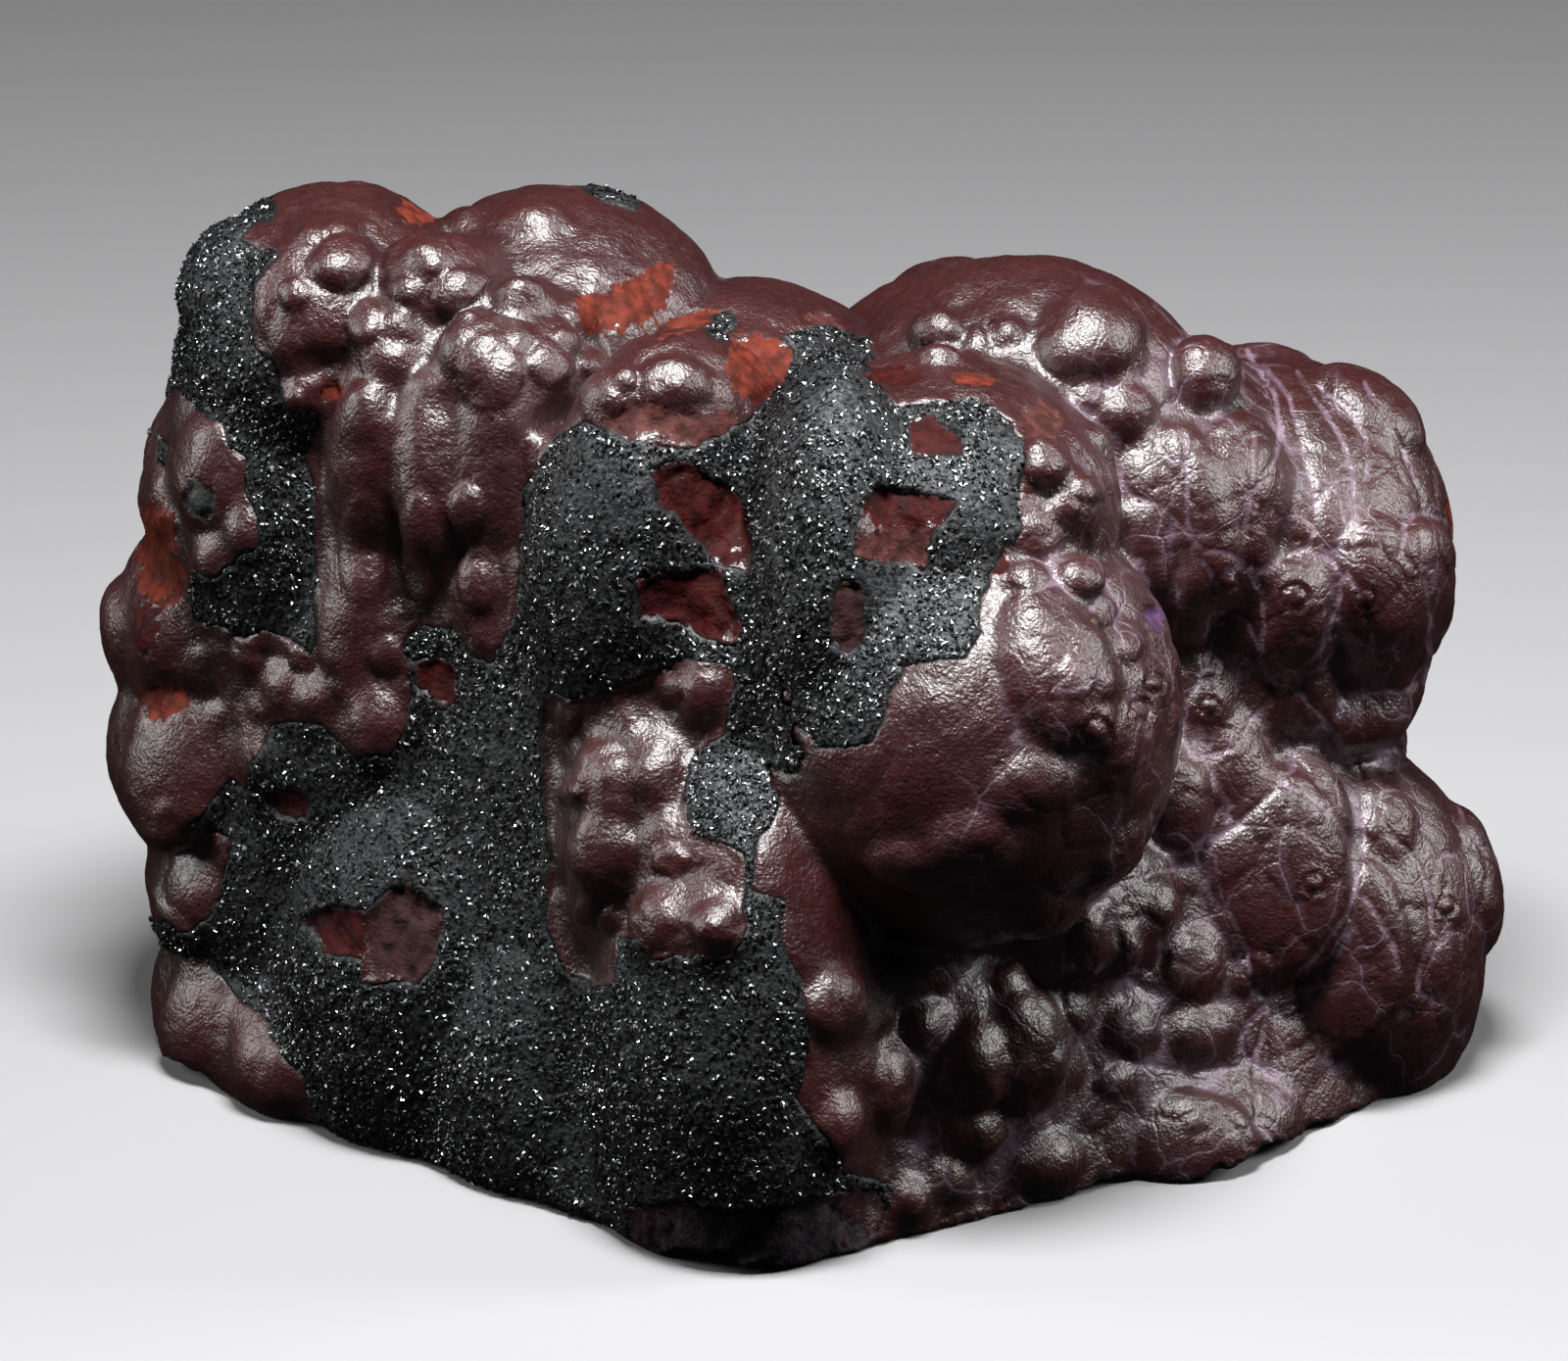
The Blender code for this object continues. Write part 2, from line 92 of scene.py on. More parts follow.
# A mass is an ellipsoid: its middle, its half width, half depth and half height in mm, and the
# way it faces.
MASSES = {
    "left dome": (-26.8, 6.5, 41.3, 8.9, 10.0, 8.8, AHEAD),
    "left shoulder": (-28.5, 8.0, 31.0, 9.0, 12.0, 16.0, AHEAD),
    "second dome": (-14.0, 9.0, 41.6, 9.8, 11.0, 7.4, AHEAD),
    "middle dome": (-3.5, 6.0, 37.4, 9.5, 11.0, 7.0, AHEAD),
    "hanging fold": (-20.0, 1.5, 38.5, 6.0, 8.5, 10.0, LEFT),
    "inner fold": (-16.0, -1.5, 36.0, 6.0, 8.0, 11.0, LEFT),
    "long fold": (-24.0, 3.5, 30.0, 7.0, 8.5, 14.0, LEFT),
    "pillar": (-6.8, -9.0, 32.5, 7.3, 10.0, 14.0, LEFT),
    "pillar foot": (-5.0, -12.0, 19.5, 7.0, 10.5, 12.0, LEFT),
    "left wall": (-21.0, 5.5, 18.0, 18.0, 13.5, 26.0, LEFT),
    "bulge side": (2.0, -12.0, 31.0, 6.0, 10.5, 15.0, AHEAD),
    "upper bulge": (7.5, -8.5, 36.5, 10.5, 11.5, 8.0, AHEAD),
    "great bulge": (8.7, -12.5, 26.0, 12.8, 14.0, 12.5, AHEAD),
    "right dome": (13.0, 5.0, 36.0, 11.5, 11.5, 10.2, AHEAD),
    "right dome flank": (19.5, 5.0, 32.5, 10.0, 11.5, 9.3, AHEAD),
    "right shoulder": (27.8, 8.5, 29.0, 10.6, 12.0, 10.0, AHEAD),
    "right flank": (30.5, 8.5, 23.0, 7.0, 9.5, 8.0, AHEAD),
    "right fold": (24.0, 6.0, 28.0, 10.0, 10.0, 11.5, RIGHT),
    "right waist": (24.0, 5.5, 22.0, 11.0, 9.5, 10.0, RIGHT),
    "lower right dome": (32.4, 4.0, 6.2, 8.4, 10.5, 11.6, AHEAD),
    "right lobe": (25.0, 1.5, 12.5, 8.5, 9.5, 8.5, RIGHT),
    "low lobe": (19.5, -2.5, 8.0, 8.0, 9.0, 8.0, RIGHT),
    "upper low lobe": (19.0, -0.5, 18.0, 8.0, 8.5, 8.0, RIGHT),
    "front cluster": (7.5, -12.0, 6.0, 12.0, 8.8, 10.0, RIGHT),
    "under bulge": (14.0, -9.0, 14.0, 8.0, 7.5, 5.5, RIGHT),
    "foot lobe": (21.5, -7.0, 0.0, 8.0, 8.5, 5.8, RIGHT),
    "left wall rib": (-18.5, -2.5, 6.0, 12.0, 12.0, 18.0, LEFT),
    "corner column": (-3.0, -15.5, 6.0, 9.5, 13.5, 22.0, AHEAD),
    "left wall swell": (-27.0, 4.5, 11.0, 10.0, 9.5, 14.0, LEFT),
    "front wall rib": (-10.5, -8.5, 2.0, 10.5, 11.8, 17.0, LEFT),
    "left foot": (-25.5, 0.5, 1.0, 10.0, 9.4, 9.0, LEFT),
    "far left lobe 1": (-32.0, 9.0, 31.5, 6.5, 9.0, 8.0, AHEAD),
    "far left lobe 2": (-33.2, 9.0, 24.0, 6.9, 9.5, 7.0, AHEAD),
    "far left lobe 3": (-33.5, 8.5, 16.5, 7.4, 10.0, 7.2, AHEAD),
    "far left lobe 4": (-32.0, 7.5, 9.0, 6.8, 9.5, 6.2, AHEAD),
    "far left lobe 5": (-31.5, 6.0, 2.0, 7.0, 9.0, 6.8, AHEAD),
    "back left dome": (-25.0, 13.0, 34.0, 10.0, 10.5, 10.0, AHEAD),
    "back dome": (-11.0, 16.5, 32.5, 11.0, 11.0, 10.5, AHEAD),
    "back right dome": (10.0, 18.0, 31.0, 11.0, 10.5, 10.5, AHEAD),
    "back shoulder": (24.0, 16.0, 26.0, 9.5, 9.5, 9.5, AHEAD),
    "back lobe 1": (-30.0, 14.0, 20.0, 7.5, 8.0, 8.5, AHEAD),
    "back lobe 2": (-19.0, 19.5, 20.0, 8.5, 8.5, 9.0, AHEAD),
    "back lobe 3": (-3.0, 22.0, 18.0, 9.0, 8.0, 9.5, AHEAD),
    "back lobe 4": (13.0, 20.5, 17.0, 9.0, 8.5, 9.0, AHEAD),
    "back lobe 5": (28.0, 13.5, 14.0, 8.5, 9.0, 9.5, AHEAD),
}

# A knob sits on the masses where a line from the centre comes out. It has the line's bearing,
# in degrees to the right of straight ahead, the line's rise in degrees, the knob's half width
# and half height in mm, how far it stands proud, and its lean in degrees clockwise.
CENTRE = (0.0, 3.0, 20.0)
SUNK = 0.4
KNOBS = [
    # On the left dome.
    (-81, 44, 3.5, 3.8, 1.4, 0), (-82, 47, 1.7, 1.7, 1.2, 0), (-82, 44, 1.4, 1.5, 0.6, 0),
    (-88, 46, 1.4, 1.0, 0.6, 0), (-79, 40, 1.5, 1.9, 0.8, 0), (-75, 45, 1.4, 1.8, 0.9, 0),
    (-77, 37, 1.2, 1.7, 0.8, 0),
    # On the hanging folds beside it.
    (-78, 53, 2.8, 3.0, 1.2, 0), (-81, 54, 1.7, 1.7, 0.6, 0), (-73, 47, 1.1, 1.1, 0.8, 0),
    (-71, 44, 1.5, 1.5, 0.9, 0), (-64, 50, 2.1, 2.6, 1.6, 0), (-64, 38, 1.8, 5.1, 1.4, -10),
    (-56, 44, 2.1, 5.4, 1.3, 12), (-71, 32, 2.5, 6.0, 1.3, 4), (-70, 20, 2.4, 5.1, 1.1, 0),
    (-70, 58, 1.7, 1.2, 1.0, 0), (-69, 62, 1.5, 1.3, 0.9, 0), (-62, 58, 1.2, 1.2, 0.9, 0),
    (-58, 53, 2.3, 2.6, 1.2, 0), (-58, 37, 1.0, 1.7, 0.9, 0), (-62, 28, 1.0, 1.8, 0.9, 0),
    (-56, 28, 1.4, 2.6, 1.2, 0), (-54, 23, 1.0, 1.4, 0.8, 0),
    # On the second dome and the pillar's crown.
    (-100, 61, 2.4, 1.7, 0.9, 0), (-105, 54, 2.0, 1.4, 0.8, 0), (-34, 52, 1.8, 1.6, 0.9, 0),
    (-23, 55, 1.9, 1.7, 1.0, 0),
    # Down the far left edge and the left wall.
    (-84, 25, 2.8, 3.2, 1.2, 0), (-91, 19, 1.3, 1.5, 0.7, 0), (-82, 18, 1.4, 1.6, 0.9, 0),
    (-79, 22, 1.1, 1.5, 0.8, 0), (-88, 8, 2.0, 2.6, 0.9, 0), (-85, -2, 3.4, 4.7, 1.2, 0),
    (-85, -15, 2.9, 2.9, 1.1, 0), (-83, -25, 3.2, 3.9, 1.2, 0), (-72, -28, 2.8, 2.5, 0.9, 0),
    (-80, 10, 1.2, 1.4, 0.7, 0), (-69, 13, 1.3, 1.4, 0.7, 0), (-66, 8, 1.9, 2.6, 1.3, 0),
    (-84, 2, 1.4, 1.5, 0.7, 0), (-72, 8, 1.5, 1.5, 0.6, 0), (-76, 8, 1.3, 1.5, 0.7, 0),
    (-78, 0, 1.9, 2.1, 0.8, 0),
    # On the pillar's bare foot.
    (-14, 23, 1.8, 1.9, 1.3, 0), (-25, 19, 1.1, 1.4, 0.6, 0), (-26, 11, 2.3, 2.2, 1.2, 0),
    (-19, 12, 1.9, 2.4, 1.0, 0), (-25, 2, 2.4, 2.7, 1.4, 0), (-17, 5, 1.4, 1.9, 1.0, 0),
    (-16, -3, 2.2, 2.2, 1.4, 0), (-9, -2, 1.9, 1.8, 1.7, 0),
    # On the great bulge.
    (35, 43, 1.4, 1.7, 1.0, 0), (32, 36, 1.3, 1.2, 0.7, 0), (40, 39, 2.0, 2.0, 0.8, 0),
    (28, 32, 1.5, 1.3, 0.8, 0), (35, 31, 2.1, 1.7, 1.0, 0), (29, 23, 3.4, 4.3, 1.4, 0),
    (34, 15, 1.9, 2.6, 0.9, 0), (24, 12, 2.5, 1.9, 0.8, 0), (18, 7, 2.5, 2.0, 0.9, 0),
    (12, 4, 2.5, 1.9, 0.8, 0),
    # On the right dome.
    (69, 70, 1.8, 1.5, 1.0, 0), (37, 62, 1.6, 0.9, 0.6, 0), (75, 54, 3.2, 3.1, 1.6, 0),
    (69, 62, 1.0, 1.1, 0.6, 0), (85, 42, 2.2, 2.0, 1.9, 0), (70, 46, 2.1, 1.6, 1.1, 0),
    (56, 45, 1.4, 1.4, 0.7, 0), (74, 40, 1.5, 0.9, 0.7, 0), (68, 39, 1.7, 3.2, 0.9, -8),
    (70, 32, 2.2, 4.8, 1.2, -8), (75, 27, 1.9, 4.5, 1.0, -8),
    # On the right shoulder and waist.
    (82, 16, 2.8, 3.6, 1.0, 0), (86, 13, 2.0, 3.8, 0.9, 0), (77, 15, 2.8, 3.9, 1.3, 0),
    (72, 22, 1.5, 1.9, 0.7, 0), (71, 19, 1.7, 4.6, 1.0, -5), (64, 31, 1.6, 3.3, 1.0, -8),
    (72, 10, 2.4, 3.7, 1.3, 8), (80, 7, 2.0, 2.7, 1.0, 0), (86, 7, 2.1, 2.2, 0.9, 0),
    (85, 1, 3.2, 2.1, 1.0, 0), (82, 3, 1.0, 1.0, 0.6, 0),
    # On the lower right lobes.
    (61, -3, 2.6, 3.2, 1.2, 15), (73, 1, 2.4, 3.1, 1.0, 15), (77, -3, 2.3, 3.5, 1.0, -10),
    (69, -11, 4.6, 5.8, 1.4, 0), (71, -13, 1.0, 1.0, 0.7, 0), (65, -21, 1.2, 1.0, 0.6, 0),
    (82, -7, 2.5, 2.6, 1.0, 0), (74, -18, 3.3, 5.4, 1.0, 0), (36, 2, 2.1, 2.3, 1.0, 20),
    (29, -4, 2.7, 1.9, 1.0, 0), (40, -13, 1.5, 2.0, 1.0, 0), (46, -16, 1.1, 1.6, 0.9, 0),
    (53, -12, 1.6, 1.6, 0.9, 0), (59, -20, 2.1, 2.3, 1.0, 0), (41, -23, 1.5, 1.7, 0.8, 0),
    (58, -26, 2.5, 1.7, 0.9, 0), (49, -26, 2.1, 1.7, 0.9, 0),
    # In the low cluster at the front.
    (31, -24, 2.8, 3.4, 1.7, 0), (23, -24, 1.9, 2.4, 1.5, 0), (16, -20, 1.5, 1.5, 1.0, 0),
    (11, -24, 2.1, 2.6, 1.3, 0), (23, -31, 1.8, 1.4, 1.0, 0), (33, -35, 2.6, 1.8, 1.3, 0),
    (19, -34, 1.5, 1.5, 0.9, 0), (13, -34, 1.3, 1.5, 1.0, 0), (4, -22, 1.9, 1.9, 1.1, 0),
    (17, -15, 3.7, 1.8, 1.2, 0), (4, -11, 2.3, 2.0, 1.2, 0), (30, -18, 1.4, 1.0, 0.7, 0),
    (51, -33, 3.8, 3.0, 1.2, 0), (45, -30, 1.4, 1.0, 0.7, 0),
    # Round the sides and the back, clockwise from the right
    (78, 32, 3.6, 3.4, 1.2, 0), (86, 12, 4.2, 4.6, 1.3, 0), (92, -14, 4.0, 4.0, 1.1, 0),
    (98, 27, 3.4, 3.6, 1.1, 0), (108, 6, 4.0, 4.6, 1.3, 0), (112, -16, 3.6, 3.8, 1.1, 0),
    (118, 27, 4.0, 3.8, 1.3, 0), (130, 11, 3.4, 3.8, 1.1, 0), (134, 36, 3.2, 3.0, 1.1, 0),
    (141, -6, 3.8, 4.2, 1.2, 0), (149, 22, 4.4, 4.0, 1.4, 0), (157, 40, 3.4, 3.0, 1.1, 0),
    (163, 4, 3.4, 3.6, 1.1, 0), (170, 27, 3.2, 3.4, 1.1, 0), (180, -8, 3.6, 4.0, 1.2, 0),
    (184, 37, 4.0, 3.4, 1.3, 0), (191, 15, 3.0, 3.2, 1.0, 0), (200, 30, 3.6, 3.4, 1.2, 0),
    (206, 1, 3.4, 4.0, 1.2, 0), (213, 44, 3.2, 3.0, 1.1, 0), (219, 24, 4.2, 3.8, 1.3, 0),
    (228, -4, 3.2, 3.6, 1.1, 0), (234, 37, 3.4, 3.2, 1.2, 0), (241, 16, 3.4, 4.0, 1.1, 0),
    (252, 28, 3.4, 3.6, 1.2, 0), (262, 4, 3.2, 3.2, 1.0, 0), (268, 38, 3.2, 3.0, 1.0, 0),
]

# How far the lump's smooth shape keeps inside the solid's box, in mm, to leave room for relief.
MARGIN = 0.25

# How fine the fused skin is in mm, how often its voxel steps are smoothed, and how far from the
# centre the line starts that seats a knob, in mm.
VOXEL = 0.24
STEP_ROUNDS = 3
FAR = 100.0

# Triangles that each large piece keeps. The skin is thinned out first where it is hidden.
HALFWAY_TRIANGLES = 470000
SKIN_TRIANGLES = 196000
CRUST_TRIANGLES = 160000

# How strongly the visible skin is spared in the first step, and the front in the second one, and
# the weight of what is spared: at 0 it would be locked.
SPARING_SEEN = 0.2
SPARING_FRONT = 0.0004
SPARED = 0.02


# Fixed random fields over space, in mm.

def scatter(corner, seed):
    """Three random numbers from 0 to 1 for each whole-numbered corner of a grid."""
    mixed = corner[:, 0] * 73856093 ^ corner[:, 1] * 19349663 ^ corner[:, 2] * 83492791
    mixed = (mixed + seed * 668265263) & 0xFFFFFFFF
    drawn = []
    for _ in range(3):
        mixed = ((mixed ^ (mixed >> 13)) * 1274126177) & 0xFFFFFFFF
        mixed = mixed ^ (mixed >> 16)
        drawn.append((mixed & 0xFFFF) / 65535.0)
    return np.stack(drawn, 1)


def cells(points, size, seed):
    """The vector from each point to the nearest seed, its length, and the border's nearness.

    The seeds stand one to a cube of the given size. The last value is how much further away
    the next seed is: it is 0 on the border between two cells.
    """
    grid = points / size
    home = np.floor(grid).astype(np.int64)
    nearest = np.full(len(points), 9.0)
    second = nearest.copy()
    toward = np.zeros_like(grid)
    for step in np.ndindex(3, 3, 3):
        corner = home + np.array(step) - 1
        away = corner + scatter(corner, seed) - grid
        length = np.sqrt((away ** 2).sum(1))
        closer = length < nearest
        second = np.where(closer, nearest, np.minimum(second, length))
        nearest = np.where(closer, length, nearest)
        toward[closer] = away[closer]
    return toward * size, nearest * size, (second - nearest) * size


def domes(points, size, seed):
    """Round cells: 1 at a cell's middle, falling to a sharp crease at its border."""
    _, length, _ = cells(points, size, seed)
    return 1.0 - np.minimum(length / size, 1.0) ** 2


def drift(points, size, seed):
    """A smooth random field from -1 to 1 whose swells are about as wide as size."""
    grid = points / size
    home = np.floor(grid).astype(np.int64)
    part = grid - home
    part = part * part * (3.0 - 2.0 * part)
    total = np.zeros(len(points))
    for step in np.ndindex(2, 2, 2):
        share = np.prod(np.where(np.array(step) == 1, part, 1.0 - part), axis=1)
        total += share * scatter(home + np.array(step), seed)[:, 0]
    return 2.0 * total - 1.0


def ragged(points, size, seed):
    """Four octaves of drift."""
    return sum(drift(points, size / 2 ** k, seed + k) / 2 ** k for k in range(4)) / 1.875


def ramp(value, low, high):
    """0 up to low, 1 from high on and smooth between. Low may be the greater of the two."""
    part = np.clip((value - low) / (high - low), 0.0, 1.0)
    return part * part * (3.0 - 2.0 * part)


# The lump's main shape, as in its solid. A shape is its corners and its triangles, in mm.

def shape_of(mesh):
    bmesh.ops.triangulate(mesh, faces=mesh.faces[:])
    points = np.array([corner.co for corner in mesh.verts])
    faces = np.array([[corner.index for corner in face.verts] for face in mesh.faces])
    mesh.free()
    return points, faces


def block():
    """The block, lofted from the footprint up to the shoulder, with round edges."""
    mesh = bmesh.new()
    foot = [mesh.verts.new((x, y, -BELOW_BASE)) for x, y in FOOTPRINT]
    top = [mesh.verts.new((x, y, SHOULDER_HEIGHT - SHOULDER_FALL * x)) for x, y in SHOULDER]
    mesh.faces.new(reversed(foot))
    mesh.faces.new(top)
    for here in range(len(foot)):
        there = (here + 1) % len(foot)
        mesh.faces.new((foot[here], foot[there], top[there], top[here]))
    edges = [edge for edge in mesh.edges if any(end in top for end in edge.verts)]
    bmesh.ops.bevel(mesh, geom=edges, offset=ROUNDING, segments=4, profile=0.5, affect="EDGES")
    mesh.verts.index_update()
    return shape_of(mesh)


def sphere(cuts):
    mesh = bmesh.new()
    bmesh.ops.create_icosphere(mesh, subdivisions=cuts, radius=1.0)
    return shape_of(mesh)


def placed(shape, middle, turn, half_sizes):
    points, faces = shape
    return points * half_sizes @ np.array(turn.to_3x3()).T + np.array(middle), faces


def joined(shapes):
    starts = np.cumsum([0] + [len(points) for points, _ in shapes[:-1]])
    faces = [corners + start for (_, corners), start in zip(shapes, starts)]
    return np.concatenate([points for points, _ in shapes]), np.concatenate(faces)


def outward(bearing, rise):
    """The direction of a bearing to the right of straight ahead and a rise above level."""
    bearing, rise = math.radians(bearing), math.radians(rise)
    level = math.cos(rise)
    return Vector((math.sin(bearing) * level, -math.cos(bearing) * level, math.sin(rise)))


def seated_knob(ball, surface, knob):
    """A knob on the masses, its depth along their normal and its height up their slope."""
    bearing, rise, width, height, proud, lean = knob
    line = outward(bearing, rise)
    spot, normal, _, _ = surface.ray_cast(Vector(CENTRE) + line * FAR, -line)
    turn = (-normal).to_track_quat("Y", "Z").to_matrix().to_4x4()
    turn = turn @ Matrix.Rotation(math.radians(lean), 4, "Y")
    depth = proud / (1.0 - SUNK)
    spread = 1.0 / math.sqrt(1.0 - SUNK ** 2)
    half_sizes = (width * spread, depth, height * spread)
    return placed(ball, spot - normal * depth * SUNK, turn, half_sizes)


def grow():
    """The block, the masses and the knobs as overlapping closed shapes in one object."""
    ball, small_ball = sphere(6), sphere(4)
    shapes = [block()]
    for x, y, z, width, depth, height, facing in MASSES.values():
        turn = Matrix.Rotation(math.radians(facing), 4, "Z")
        shapes.append(placed(ball, (x, y, z), turn, (width, depth, height)))
    points, faces = joined(shapes)
    surface = BVHTree.FromPolygons(points.tolist(), faces.tolist())
    shapes += [seated_knob(small_ball, surface, knob) for knob in KNOBS]
    return new_object("lump", *joined(shapes))


def new_object(name, points, faces):
    data = bpy.data.meshes.new(name)
    data.from_pydata(points, [], faces)
    thing = bpy.data.objects.new(name, data)
    bpy.context.scene.collection.objects.link(thing)
    return thing


def apply_modifiers(thing):
    bpy.context.view_layer.update()
    seen = thing.evaluated_get(bpy.context.evaluated_depsgraph_get())
    data = bpy.data.meshes.new_from_object(seen)
    thing.modifiers.clear()
    thing.data = data


def fuse(thing, voxel):
    skin = thing.modifiers.new("fuse", "REMESH")
    skin.mode = "VOXEL"
    skin.voxel_size = voxel
    apply_modifiers(thing)


def fit_to_solid(thing):
    """Stretches what stands above the base to the solid's box, less a margin for the relief."""
    low, high = (np.array(corner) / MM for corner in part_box(NODE))
    low, high = low + (MARGIN, MARGIN, 0.0), high - MARGIN
    points = points_of(thing)
    above = points[points[:, 2] > 0.0]
    least, most = above.min(0), above.max(0)
    scale = (high - low) / (most - least)
    middle = (least + most) / 2.0
    middle[2], scale[2] = 0.0, high[2] / most[2]
    shift = (low + high) / 2.0
    shift[2] = 0.0
    move_points(thing, (points - middle) * scale + shift)


def break_off(thing):
    """Cuts the lump off flat at z = 0 and closes it."""
    mesh = bmesh.new()
    mesh.from_mesh(thing.data)
    everything = mesh.verts[:] + mesh.edges[:] + mesh.faces[:]
    cut = bmesh.ops.bisect_plane(
        mesh, geom=everything, plane_co=(0, 0, 0), plane_no=(0, 0, -1), clear_outer=True
    )
    rim = [part for part in cut["geom_cut"] if isinstance(part, bmesh.types.BMEdge)]
    bmesh.ops.triangle_fill(mesh, edges=rim, use_beauty=True)
    bmesh.ops.recalc_face_normals(mesh, faces=mesh.faces[:])
    mesh.to_mesh(thing.data)
    mesh.free()


def points_of(thing):
    found = np.empty(len(thing.data.vertices) * 3, np.float32)
    thing.data.vertices.foreach_get("co", found)
    return found.reshape(-1, 3).astype(float)


def normals_of(thing):
    found = np.empty(len(thing.data.vertices) * 3, np.float32)
    thing.data.vertex_normals.foreach_get("vector", found)
    return found.reshape(-1, 3).astype(float)


def move_points(thing, points):
    thing.data.vertices.foreach_set("co", points.astype(np.float32).ravel())
    thing.data.update()


def edges_of(thing):
    found = np.empty(len(thing.data.edges) * 2, np.int32)
    thing.data.edges.foreach_get("vertices", found)
    return found.reshape(-1, 2)


def smoothed(values, edges, rounds):
    """Each corner's value brought toward the mean of its neighbours, a number of times over."""
    ends = np.concatenate((edges, edges[:, ::-1]))
    count = np.bincount(ends[:, 0], minlength=len(values))
    columns = []
    for column in np.atleast_2d(values.T):
        for _ in range(rounds):
            total = np.bincount(ends[:, 0], weights=column[ends[:, 1]], minlength=len(column))
            column = 0.5 * column + 0.5 * total / count
        columns.append(column)
    return columns[0] if values.ndim == 1 else np.stack(columns, 1)


def build_lump():
    """The fused, fitted and cut lump with an even fine skin, in mm."""
    lump = grow()
    fuse(lump, VOXEL)
    fit_to_solid(lump)
    break_off(lump)
    fuse(lump, VOXEL)
    move_points(lump, smoothed(points_of(lump), edges_of(lump), STEP_ROUNDS))
    return lump


# What the photograph shows where, in its pixels. One mm of the lump covers PIXELS_PER_MM of them,
# and no outline or line is felt further away than REACH.
PIXELS_PER_MM = FOCAL / DISTANCE
REACH = 60.0

# Which way a corner faces is read from normals smoothed this often, so that the sides of a crease
# face the way of the wall that it is in.
FACING_ROUNDS = 60

# How far the outlines of the crust and the stains are torn, and how far lines waver, in pixels.
TEAR = 9.0
WAVER = 3.0

# How far the borders of knobs and cells bend, in mm.
BEND = 0.35

# The photograph's left and right sides meet along a leaning line, where x plus a quarter of y
# lies between these two, in pixels. The unseen sides look part right.
SIDES_MEET = (1130.0, 1260.0)
UNSEEN_RIGHT = 0.6


def to_photo(points):
    """Where points of the lump, in mm, stand in the photograph."""
    offset = points - TARGET
    depth = DISTANCE - offset @ TOWARD_CAMERA
    x = PHOTO_WIDTH / 2 + FOCAL * (offset @ ACROSS) / depth
    y = PHOTO_HEIGHT / 2 - FOCAL * (offset @ UPWARD) / depth
    return np.stack((x, y), 1)


def near_box(places, outline):
    """Which places lie within REACH of an outline's own box."""
    low, high = outline.min(0) - REACH, outline.max(0) + REACH
    return ((places > low) & (places < high)).all(1)


def to_edges(places, starts, ends):
    """How far each place is from the nearest of several edges, in pixels, up to REACH."""
    least = np.full(len(places), REACH ** 2)
    for start, along in zip(starts, ends - starts):
        reach = places - start
        share = np.clip(reach @ along / (along @ along), 0.0, 1.0)
        least = np.minimum(least, ((reach - share[:, None] * along) ** 2).sum(1))
    return np.sqrt(least)


def inside(places, outline):
    """How far inside an outline each place is, in pixels; less than 0 outside, down to -REACH."""
    outline = np.array(outline, float)
    depth = np.full(len(places), -REACH)
    near = near_box(places, outline)
    close = places[near]
    ends = np.roll(outline, -1, axis=0)
    within = np.zeros(len(close), bool)
    for start, end in zip(outline, ends):
        crosses = (start[1] > close[:, 1]) != (end[1] > close[:, 1])
        if start[1] != end[1]:
            slope = (end[0] - start[0]) / (end[1] - start[1])
            within ^= crosses & (close[:, 0] < start[0] + (close[:, 1] - start[1]) * slope)
    depth[near] = np.where(within, 1.0, -1.0) * to_edges(close, outline, ends)
    return depth


def to_line(places, line):
    """How far each place is from an open line, in pixels, up to REACH."""
    line = np.array(line, float)
    distance = np.full(len(places), REACH)
    near = near_box(places, line)
    distance[near] = to_edges(places[near], line[:-1], line[1:])
    return distance


# The outlines of the crust, in photograph pixels. An outline that runs off the lump's edge goes on
# round the side. Bare places are cut out of the crust.
CRUST = {
    "left band": [
        (276, 198), (282, 208), (280, 221), (266, 229), (248, 244), (273, 254), (284, 264),
        (262, 295), (261, 320), (258, 349), (284, 369), (289, 400), (299, 419), (320, 413),
        (327, 431), (316, 451), (321, 484), (320, 540), (326, 579), (321, 604), (326, 655),
        (320, 668), (299, 653), (274, 649), (238, 649), (207, 637), (192, 612), (197, 579),
        (223, 586), (243, 568), (262, 558), (259, 533), (251, 502), (246, 466), (228, 438),
        (207, 425), (184, 401), (140, 405), (120, 300), (200, 150),
    ],
    "wall": [
        (412, 647), (437, 640), (463, 636), (480, 665), (500, 675), (520, 640), (528, 560),
        (533, 500), (555, 460), (570, 445), (600, 430), (640, 448), (700, 462), (760, 430),
        (790, 400), (810, 370), (800, 340), (835, 330), (890, 345), (895, 375), (870, 380),
        (905, 395), (912, 415), (1000, 410), (1035, 430), (1050, 470), (1045, 500),
        (1040, 545), (1020, 570), (1010, 590), (1000, 650), (985, 675), (920, 680),
        (905, 720), (895, 760), (830, 770), (810, 800), (790, 835), (768, 862), (768, 905),
        (800, 915), (800, 960), (812, 979), (826, 1056), (815, 1122), (865, 1198),
        (914, 1209), (903, 1248), (880, 1330), (330, 1330), (322, 1140), (310, 1101),
        (289, 1084), (274, 1061), (269, 1038), (243, 1025), (223, 997), (202, 976),
        (177, 974), (157, 953), (154, 939), (192, 951), (218, 931), (225, 908), (233, 877),
        (233, 854), (190, 849), (238, 793), (256, 800), (259, 783), (276, 742), (310, 732),
        (335, 744), (368, 772), (394, 767), (409, 744), (417, 706), (412, 655),
    ],
    "second dome's crest": [(598, 190), (630, 180), (668, 205), (650, 212), (612, 206)],
    "middle dome's speck": [(722, 322), (752, 320), (756, 338), (740, 352), (722, 344)],
    "left lobe's speck": [(160, 440), (178, 452), (170, 478), (158, 470)],
}
